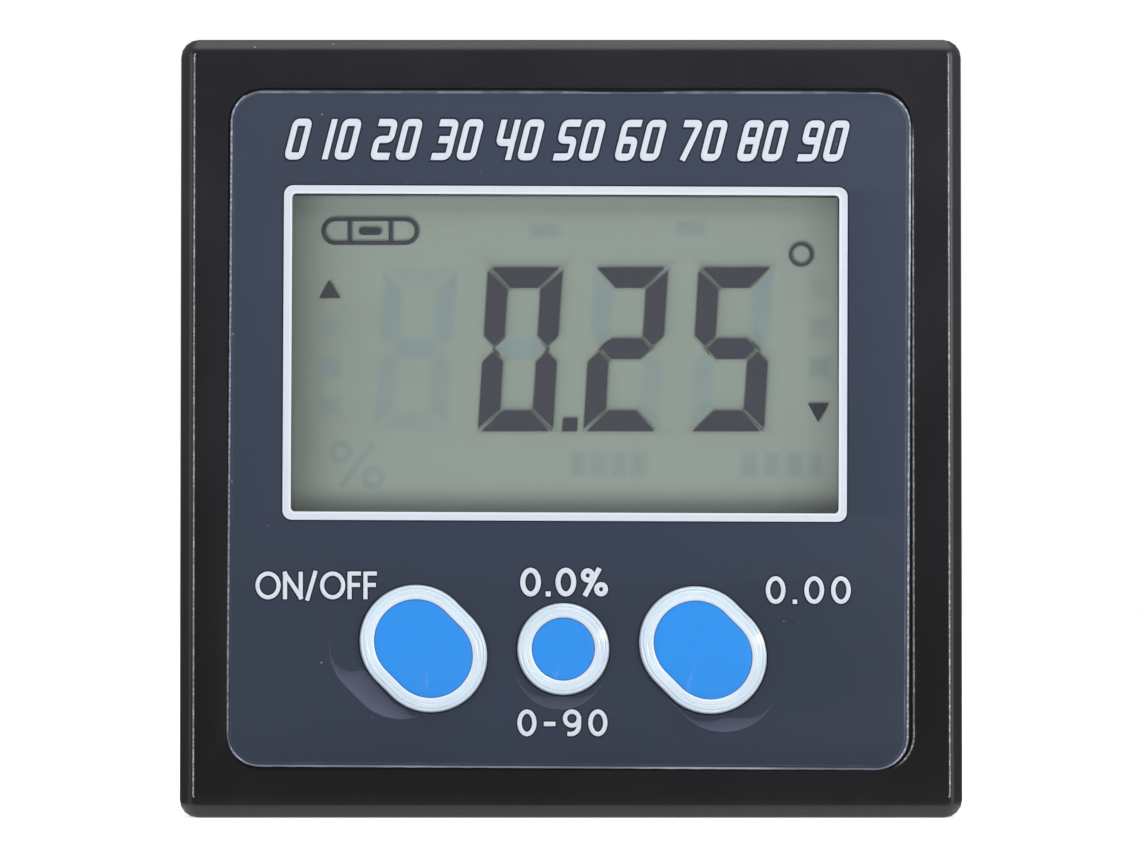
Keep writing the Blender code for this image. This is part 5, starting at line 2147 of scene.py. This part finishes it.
    def print_legends(self, front: float) -> list[Piece]:
        """Print the keys' legends and the scale, each with a painted shadow: a thin dark outline.

        Args:
            front: The film's front, along y.

        Returns:
            The print.
        """
        white = Ink("legend_ink", srgb(220, 226, 237), 0.34).make()
        # A painted shadow: the thin dark outline round each legend and number.
        dark = Ink("legend_shadow_ink", srgb(34, 39, 52), 0.4).make()
        rows = [(legend, round_signs()) for legend in self.legends]
        rows.append((self.scale, square_signs()))
        pieces = []
        for number, (legend, alphabet) in enumerate(rows, 1):
            lines = legend.strokes(alphabet)
            label = "scale_numbers" if legend is self.scale else f"key_legend_{number}"
            for suffix, ink, width, height in (
                ("", white, legend.stroke, 0.06 * MM),
                ("_outline", dark, legend.stroke + 0.2 * MM, 0.028 * MM),
            ):
                printed = self.press.run(
                    label + suffix, lines, front, width, height, ink, 16, legend.tall
                )
                printed.data.transform(legend.shear())
                pieces.append(printed)
            LOG.info("%s printed with %d strokes", label, len(lines))
        return pieces

    def shade_opening(self, back: float) -> Piece:
        """A painted shadow: the thin dark line under the opening's upper and right edges.

        Args:
            back: The film's back, along y.

        Returns:
            The line.
        """
        dark = SoftShade("opening_shade", srgb(38, 42, 44), 0.6, strength=0.8).make()
        x, z = self.window_middle
        half_x, half_z = self.window_half
        top, right = z + half_z, x + half_x
        drop, slope = 0.16 * MM, 0.0038
        upper, side = [], []
        for step in range(25):
            across = x - half_x + 2 * half_x * step / 24
            height = top - (across - x) * slope - 0.02 * MM
            rows = ((0.08 * MM, 0.9), (-drop * 0.5, 0.8), (-drop, 0.0))
            upper.append([(across, height + rise, cover) for rise, cover in rows])
        for step in range(17):
            share = step / 16
            height, cover = top - 2 * half_z * share, 0.75 * (1 - 0.5 * share)
            rows = ((0.06 * MM, cover), (-0.05 * MM, cover), (-0.12 * MM, 0.0))
            side.append([(right + reach, height, shown) for reach, shown in rows])
        return soft_grid("window_edge_shade", [upper, side], back + 0.06 * MM, dark)

    def sheen(self, front: float, keys: Keys, film: Material) -> list[Piece]:
        """Painted reflections in the film: faint crescents where light comes back from the keys'
        sides.

        Args:
            front: The film's front, along y.
            keys: The keys.
            film: The film's finish.

        Returns:
            The crescents.
        """
        level = front - 0.012 * MM
        return [
            soft_grid(f"film_sheen_{key.side}", [self.crescent(key)], level, film)
            for key in keys.members
        ]

    def crescent(self, key: Key) -> Grid:
        """One crescent: the key's outline moved aside, as far as the key's own edge.

        Args:
            key: The key it belongs to.

        Returns:
            Rows for a soft strip.
        """
        section = ((0.0, 0.0), (0.08, 1.0), (0.45, 0.75), (1.0, 0.4))
        grid = []
        steps = 40
        sheen = key.sheen
        for step in range(steps + 1):
            share = step / steps
            angle = math.radians(sheen.start + (sheen.end - sheen.start) * share)
            shift = math.copysign(key.stretch / 2, math.cos(angle) - math.sin(angle))
            direction = Vector((math.cos(angle), math.sin(angle)))
            outer = Vector((key.x + sheen.x + shift, key.z + sheen.z - shift))
            outer += direction * (key.radius + 0.05 * MM)
            room = key.gap((outer.x, outer.y)) - self.key_clearance - 0.03 * MM
            swell = math.sin(math.pi * share**sheen.lag)
            width = min(sheen.width * swell**3 + 0.12 * MM, max(0.0, room))
            ends = swell**0.6 * sheen.cover if width else 0.0
            points = [(outer - direction * width * part, cover) for part, cover in section]
            grid.append([(point.x, point.y, cover * ends) for point, cover in points])
        return grid


class Lit(Enum):
    """How an area of the display shows."""

    ON = "on"
    OFF = "off"


class Layer(Enum):
    """How far before the glass each layer of the display lies."""

    BROAD_SHADOW = 0.011 * MM
    UNLIT = 0.02 * MM
    GLOW = 0.034 * MM
    SHADOW = 0.048 * MM
    SIGN = 0.072 * MM
    LIT = 0.084 * MM


@dataclass
class Display:
    """The liquid-crystal display: field, segments, signs and what shimmers unlit."""

    press: StrokePress
    digit_middle: Point = (-3.582 * MM, 33.05 * MM)
    pitch: float = 7.456 * MM
    slant: float = math.radians(3.5)
    unit: float = 0.9963 * MM
    bar: tuple[Point, ...] = ((2.385, 5.855), (0.965, 4.39), (-0.965, 4.39), (-2.385, 5.855))
    post: tuple[Point, ...] = (
        (-2.63, 5.6), (-2.63, 0.94), (-1.905, 0.227), (-1.195, 0.94), (-1.195, 4.265),
    )
    centre: tuple[Point, ...] = (
        (-1.69, 0.0), (-1.01, -0.74), (1.01, -0.74), (1.69, 0.0), (1.01, 0.74), (-1.01, 0.74),
    )
    shows: dict[str, str] = field(
        default_factory=lambda: {
            "0": "top ul ur ll lr bottom",
            "2": "top ur centre ll bottom",
            "5": "top ul centre lr bottom",
            " ": "",
        }
    )
    digits: str = " 025"
    window_middle: Point = (-0.4 * MM, 32.7 * MM)
    window_half: Point = (19.3 * MM, 11.2 * MM)

    def segments(self) -> dict[str, Loop]:
        """The seven segments around a digit's middle, in metres.

        Returns:
            Each segment's outline.
        """

        def scaled(points: Sequence[Point], sx: int = 1, sz: int = 1) -> Loop:
            """Points in metres, mirrored across or up."""
            lower = 0.985 if sz > 0 else 1.0
            return [(x * sx * self.unit, z * sz * lower * self.unit) for x, z in points]

        return {
            "top": scaled(self.bar),
            "bottom": scaled(self.bar, 1, -1),
            "ul": scaled(self.post),
            "ur": scaled(self.post, -1),
            "ll": scaled(self.post, 1, -1),
            "lr": scaled(self.post, -1, -1),
            "centre": scaled(self.centre),
        }

    def leaning(self, loop: Sequence[Point], x: float, z: float) -> Loop:
        """A loop that leans with the digits, set down at a place."""
        lean = math.tan(self.slant)
        return [(x + a + b * lean, z + b) for a, b in loop]

    def areas(self, state: Lit) -> list[Loop]:
        """Outlines of the segments that are on, or of those that are off.

        Args:
            state: Which of the two.

        Returns:
            The outlines, with the point's last if they are on.
        """
        loops = []
        for index, digit in enumerate(self.digits):
            x = self.digit_middle[0] + (index - 1) * self.pitch
            on = set(self.shows[digit].split())
            for name, loop in self.segments().items():
                if (name in on) == (state is Lit.ON):
                    loops.append(self.leaning(loop, x, self.digit_middle[1]))
        if state is Lit.ON:
            point = [(0.5, -4.9), (-0.5, -4.9), (-0.5, -5.855), (0.5, -5.855)]
            point = [((x + 3.85) * self.unit, z * self.unit) for x, z in point]
            loops.append(self.leaning(point, *self.digit_middle))
        return loops

    def covers(self) -> list[float]:
        """How clearly each unlit segment shows.

        Returns:
            A share for each, in the order of their outlines.
        """
        weak = {"top": 0.45, "bottom": 0.55, "ll": 0.75, "lr": 0.75}
        result = []
        for digit in self.digits:
            on = set(self.shows[digit].split())
            result += [weak.get(name, 1.0) for name in self.segments() if name not in on]
        return result

    def build(self) -> None:
        """Build the display behind its clear pane."""
        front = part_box("display_front_glass")[0][1]
        level = {layer: front - layer.value for layer in Layer}
        dark = Ink("segment_ink", srgb(64, 65, 75), 0.5, uneven=0.03, specular=0.1).make()
        soft = Ink("degree_ink", srgb(84, 88, 94), 0.5, uneven=0.03, specular=0.1).make()
        # Painted shadows of lit segments and signs, a broad painted shadow round the digits, and
        # a painted light line (segment_glow) below each lit segment.
        shadow = SoftShade("segment_shadow", srgb(78, 86, 94), 0.6, strength=0.55).make()
        broad_shadow = SoftShade("segment_broad_shadow", srgb(88, 100, 106), 0.6, strength=0.16).make()
        ghost = SoftShade("unlit_segment", srgb(152, 180, 192), 0.6, strength=0.25).make()
        faint = SoftShade("unlit_sign", srgb(127, 160, 184), 0.6, strength=0.13).make()
        glow = SoftShade("segment_glow", srgb(172, 182, 174), 0.6, strength=0.45).make()
        on, off = self.areas(Lit.ON), self.areas(Lit.OFF)
        arrows = self.arrows()
        ring, vial = self.ring_line(), self.vial_lines()
        low, over = level[Layer.UNLIT], level[Layer.SIGN]
        pieces = [
            soft_patches(
                "segment_broad_shadow", [moved(l, 0.2 * MM, 0.25 * MM) for l in on[:-1]],
                level[Layer.BROAD_SHADOW], 1.2 * MM, broad_shadow,
            ),
            soft_patches(
                "unlit_segments",
                [moved(grown(anticlockwise(l), -0.1 * MM), 0.06 * MM, 0.02 * MM) for l in off],
                low, 0.62 * MM, ghost, self.covers(),
            ),
            soft_patches(
                "unlit_squares", self.unlit_squares(), low, 0.7 * MM, ghost,
                (0.55, 1.0, 0.6, 0.25, 0.45, 0.8),
            ),
            soft_patches("unlit_signs", self.unlit_signs(), low, 0.6 * MM, faint),
            soft_grid("unlit_strokes", self.unlit_strokes(), low, faint),
            soft_patches(
                "segment_glow", [moved(l, -0.04 * MM, -0.13 * MM) for l in on],
                level[Layer.GLOW], 0.16 * MM, glow,
            ),
            soft_patches(
                "segment_shadows",
                [
                    moved(grown(anticlockwise(l), -0.12 * MM), 0.08 * MM, 0.12 * MM)
                    for l in on + arrows
                ],
                level[Layer.SHADOW], 0.42 * MM, shadow,
            ),
            soft_grid(
                "sign_shadows",
                [
                    soft_band(moved(line, 0.06 * MM, 0.08 * MM), 0.26 * MM, closed)
                    for line, closed in [(ring, True)] + vial
                ],
                level[Layer.SHADOW], shadow,
            ),
            new_piece("lit_segments", plates(on + arrows, level[Layer.LIT], 0.02 * MM), dark),
            self.press.run("degree_sign", [ring], over, 0.17 * MM, 0.024 * MM, soft, 8),
            self.press.run(
                "level_sign", [line for line, _ in vial], over, 0.24 * MM, 0.024 * MM, dark, 8
            ),
        ]
        for piece in pieces:
            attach(piece, "gauge")
        LOG.info("display: %d areas on, %d off", len(on) + len(arrows), len(off))
        self.dress_stack()

    def arrows(self) -> list[Loop]:
        """The two small arrows.

        Returns:
            Their outlines.
        """
        return [
            [(-17.07 * MM, 37.91 * MM), (-17.79 * MM, 36.64 * MM), (-16.3 * MM, 36.64 * MM)],
            [(16.73 * MM, 29.2 * MM), (18.21 * MM, 29.2 * MM), (17.47 * MM, 27.87 * MM)],
        ]

    def block(self, x: float, z: float, half_width: float, half_height: float) -> Loop:
        """A plain rectangle, in millimetres."""
        corners = ((-1, -1), (1, -1), (1, 1), (-1, 1))
        return [((x + a * half_width) * MM, (z + b * half_height) * MM) for a, b in corners]

    def unlit_squares(self) -> list[Loop]:
        """The small squares at both sides that only shimmer.

        Returns:
            Their outlines.
        """
        left = ((-17.07, 34.69), (-17.06, 31.74), (-17.06, 28.95))
        right = ((17.55, 37.31), (17.55, 34.55), (17.54, 31.74))
        return [self.block(x, z, 0.6, 0.6) for x, z in left + right]

    def unlit_signs(self) -> list[Loop]:
        """Blocks of small signs that only shimmer, below and above the digits.

        Returns:
            Their outlines.
        """
        places = (
            (0.5, 24.9, 0.42), (1.95, 24.9, 0.5), (3.4, 24.9, 0.42), (4.8, 24.9, 0.48),
            (12.6, 24.9, 0.5), (14.2, 24.9, 0.45), (15.8, 24.9, 0.5), (17.3, 24.9, 0.4),
            (-1.85, 41.4, 1.0), (8.5, 41.6, 0.9),
        )
        return [self.block(x, z, half, 0.75 if z < 30 else 0.4) for x, z, half in places]

    def unlit_strokes(self) -> list[Grid]:
        """Strokes of the per cent sign that only shimmers.

        Returns:
            Rows for soft strips.
        """
        strips = [soft_band([(-16.27 * MM, 23.3 * MM), (-13.98 * MM, 26.37 * MM)], 0.32 * MM)]
        for x, z in ((-13.98, 23.95), (-16.28, 25.76)):
            ring = moved(arc(0, 0, 0.62 * MM, 0.62 * MM, 0, 360, 24), x * MM, z * MM)
            strips.append(soft_band(ring, 0.36 * MM, True))
        return strips

    def ring_line(self) -> Loop:
        """The small ring of the degree sign."""
        return moved(arc(0, 0, 0.74 * MM, 0.74 * MM, 0, 360, 40), 16.25 * MM, 39.7 * MM)

    def vial_lines(self) -> list[tuple[Loop, bool]]:
        """A spirit level's tube with its bubble, as the sign for a level surface.

        Returns:
            Each line, and whether it is closed.
        """
        x, z = -14.2 * MM, 41.37 * MM
        tube = moved(rounded_box(3.29 * MM, 0.84 * MM, 0.82 * MM, 8), x, z)
        bubble = moved(rounded_box(0.66 * MM, 0.14 * MM, 0.13 * MM, 4), x, z)
        lines = [(tube + tube[:1], True), (bubble + bubble[:1], True)]
        for side in (-1.45, 1.45):
            tick = [(x + side * MM, z - 0.84 * MM), (x + side * MM, z + 0.84 * MM)]
            lines.append((tick, False))
        return lines

    def dress_stack(self) -> None:
        """Give the pane, glasses, reflector, holder and strip their finishes."""
        pane = ClearPane("window_clear_finish", (0.97, 0.985, 0.975), 0.004).make()
        # Painted shade and painted light for the soft bands along the display's edges.
        dark, light = srgb(84, 92, 90), srgb(226, 240, 232)
        field_green = DisplayField(
            "display_field", srgb(146, 157, 149), 0.5,
            middle=self.window_middle, half=self.window_half,
            bands=(
                Band(Edge.RIGHT, 0.42, 7.0 * MM, light),
                Band(Edge.BOTTOM, 0.12, 8.0 * MM, light),
                Band(Edge.TOP, 0.12, 9.0 * MM, light, 1.0),
                Band(Edge.TOP, 0.45, 1.3 * MM, light),
                Band(Edge.LEFT, 0.34, 3.0 * MM, dark, 1.3),
                Band(Edge.BOTTOM, 0.76, 2.3 * MM, dark),
            ),
        ).make()
        for node, material in (
            ("display_lens", pane),
            ("display_front_glass", field_green),
            (
                "display_rear_glass",
                MouldedPlastic("rear_glass_finish", srgb(150, 168, 158), 0.15, dust=0.0).make(),
            ),
            ("display_reflector", BareMetal("reflector_foil", srgb(186, 190, 180), 0.4).make()),
            ("display_holder", MouldedPlastic("holder_black", srgb(30, 30, 32), 0.5).make()),
            (
                "display_connector",
                MouldedPlastic("connector_rubber_finish", srgb(70, 70, 74), 0.8).make(),
            ),
        ):
            dress(node, material)


@dataclass
class Inside:
    """Board, switches, cells, contacts and leads."""

    def build(self) -> None:
        """Dress what is inside the case."""
        green = srgb(38, 92, 66)
        looks: dict[str, tuple[str, Finish]] = {
            "circuit_board": ("board_green", Laminate("board_lacquer", srgb(22, 84, 44), 0.3)),
            "controller_chip": (
                "chip_black", MouldedPlastic("chip_resin", srgb(26, 26, 28), 0.55)
            ),
            "tilt_sensor": ("chip_black", MouldedPlastic("sensor_resin", srgb(30, 30, 33), 0.5)),
            "clock_crystal": ("steel", BareMetal("crystal_can", srgb(190, 190, 188), 0.25)),
            "power_capacitor": (
                "can_aluminium", BareMetal("capacitor_can", srgb(205, 205, 205), 0.3)
            ),
            "cell_upper": ("cell_wrap", CellSleeve("upper_cell_sleeve", green, 0.3)),
            "cell_lower": ("cell_wrap", CellSleeve("lower_cell_sleeve", green, 0.3, flip=-1.0)),
            "lead_positive": (
                "lead_red", MouldedPlastic("red_lead", srgb(170, 24, 22), 0.45, dust=0.0)
            ),
            "lead_negative": (
                "lead_black", MouldedPlastic("black_lead", srgb(26, 26, 27), 0.45, dust=0.0)
            ),
        }
        for node, (slot, finish) in looks.items():
            merged_copy(node, finish.make())
        switch = MouldedPlastic("switch_body", srgb(38, 38, 40), 0.45).make()
        nickel = BareMetal("contact_nickel", srgb(200, 196, 186), 0.28, (400, 400, 5000)).make()
        for node in frame["nodes"]:
            if node.startswith("switch_"):
                merged_copy(node, switch)
            elif node.startswith("contact_"):
                merged_copy(node, nickel, 50.0)
        LOG.info("inside dressed")


@dataclass(frozen=True)
class Lamp:
    """A soft lamp: where it hangs, what it shines at, its size and its power in watts."""

    name: str
    place: Triple
    aim: Triple
    size: Point
    power: float


@dataclass
class Studio:
    """Floor, lights, background and camera."""

    lamps: tuple[Lamp, ...] = (
        Lamp("top_light", (0.1, -0.1, 0.75), (0.0, 0.0, 0.02), (0.8, 0.7), 3.1),
        Lamp("right_light", (0.55, -0.5, 0.14), (0.0, 0.0, 0.03), (0.5, 0.4), 2.05),
        Lamp("left_light", (-0.6, -0.5, 0.12), (0.0, 0.0, 0.03), (0.5, 0.4), 1.28),
        Lamp("right_strip", (0.4, -0.3, 0.1), (0.0, -0.014, 0.012), (0.04, 0.14), 0.25),
    )
    eye: Vector = field(default_factory=lambda: Vector((-0.07 * MM, -414 * MM, 16 * MM)))
    aim: Vector = field(default_factory=lambda: Vector((-0.07 * MM, -14 * MM, 27.41 * MM)))
    lens: float = 179.9
    surround: float = 0.55
    front_surround: float = 0.3
    far_floor: float = 0.25
    floor_seen: float = 0.66

    def build(self) -> None:
        """Set the stage."""
        self.floor()
        self.world()
        for lamp in self.lamps:
            self.hang(lamp)
        self.camera()
        view = bpy.context.scene.view_settings
        view.view_transform = "Standard"
        LOG.info("stage set")

    def floor(self) -> None:
        """A plain pale floor that keeps the gauge's shadow."""
        bm = bmesh.new()
        bmesh.ops.create_grid(bm, x_segments=1, y_segments=1, size=3.0)
        graph = Surface("pale_floor")
        path = graph.node("ShaderNodeLightPath").outputs
        x, y, _ = graph.axes(graph.place)
        aside = graph.math("SUBTRACT", graph.math("ABSOLUTE", x), 13.5 * MM)
        away = graph.math("MAXIMUM", aside, graph.math("ABSOLUTE", y))
        far = graph.fade(away, 15.0 * MM, 20 * MM)
        looked_at = graph.product(path["Is Camera Ray"], self.floor_seen)
        seen = graph.math("MAXIMUM", looked_at, path["Is Glossy Ray"])
        dull = graph.product(far, path["Is Glossy Ray"])
        feeds = {
            "Base Color": graph.mix(dull, (0.82, 0.82, 0.82), (self.far_floor,) * 3),
            "Roughness": 0.9,
            "Specular IOR Level": 0.0,
            "Emission Color": WHITE,
            "Emission Strength": graph.product(seen, graph.math("SUBTRACT", 1.0, dull)),
        }
        graph.shade(feeds)
        new_piece("floor", bm, graph.material)

    def world(self) -> None:
        """A white surround to look at, and a softer one for the light."""
        world = bpy.data.worlds.new("surround")
        world.use_nodes = True
        graph = Graph(world.node_tree)
        shade = world.node_tree.nodes["Background"]
        path = graph.node("ShaderNodeLightPath").outputs
        seen = graph.math("MAXIMUM", path["Is Camera Ray"], path["Is Transmission Ray"])
        around = graph.node("ShaderNodeTexCoord").outputs["Generated"]
        front = graph.fade(graph.axes(around)[1], -0.5, -0.95)
        more = self.front_surround - self.surround
        soft = graph.math("MULTIPLY_ADD", front, more, self.surround)
        unseen = graph.math("SUBTRACT", 1.0, seen)
        strength = graph.math("MULTIPLY_ADD", unseen, soft, seen)
        graph.fill(shade, {"Color": WHITE, "Strength": strength})
        bpy.context.scene.world = world

    def hang(self, lamp: Lamp) -> None:
        """Add a soft lamp.

        Args:
            lamp: What it is like.
        """
        light = bpy.data.lights.new(lamp.name, "AREA")
        light.shape = "RECTANGLE"
        light.size, light.size_y = lamp.size
        light.energy = lamp.power
        self.stand(linked(lamp.name, light), Vector(lamp.place), Vector(lamp.aim))

    def stand(self, obj: Piece, place: Vector, aim: Vector) -> None:
        """Set a lamp or camera down at a place, facing another one."""
        obj.location = place
        obj.rotation_euler = (aim - place).to_track_quat("-Z", "Y").to_euler()

    def camera(self) -> None:
        """Stand before the face, a little below its middle."""
        lens = bpy.data.cameras.new("front_view")
        lens.lens = self.lens
        lens.sensor_width = 36.0
        lens.clip_start = 0.01
        obj = linked("front_view", lens)
        self.stand(obj, self.eye, self.aim)
        bpy.context.scene.camera = obj


def main() -> None:
    """Build and dress the whole gauge."""
    logging.basicConfig(level=logging.INFO, format="%(name)s: %(message)s")
    Effects.build()
    press = StrokePress()
    keys = Keys()
    Case().build()
    Face(press).build(keys)
    keys.build()
    Display(press).build()
    Inside().build()
    Studio().build()
    LOG.info("done")


if __name__ == "__main__":
    main()
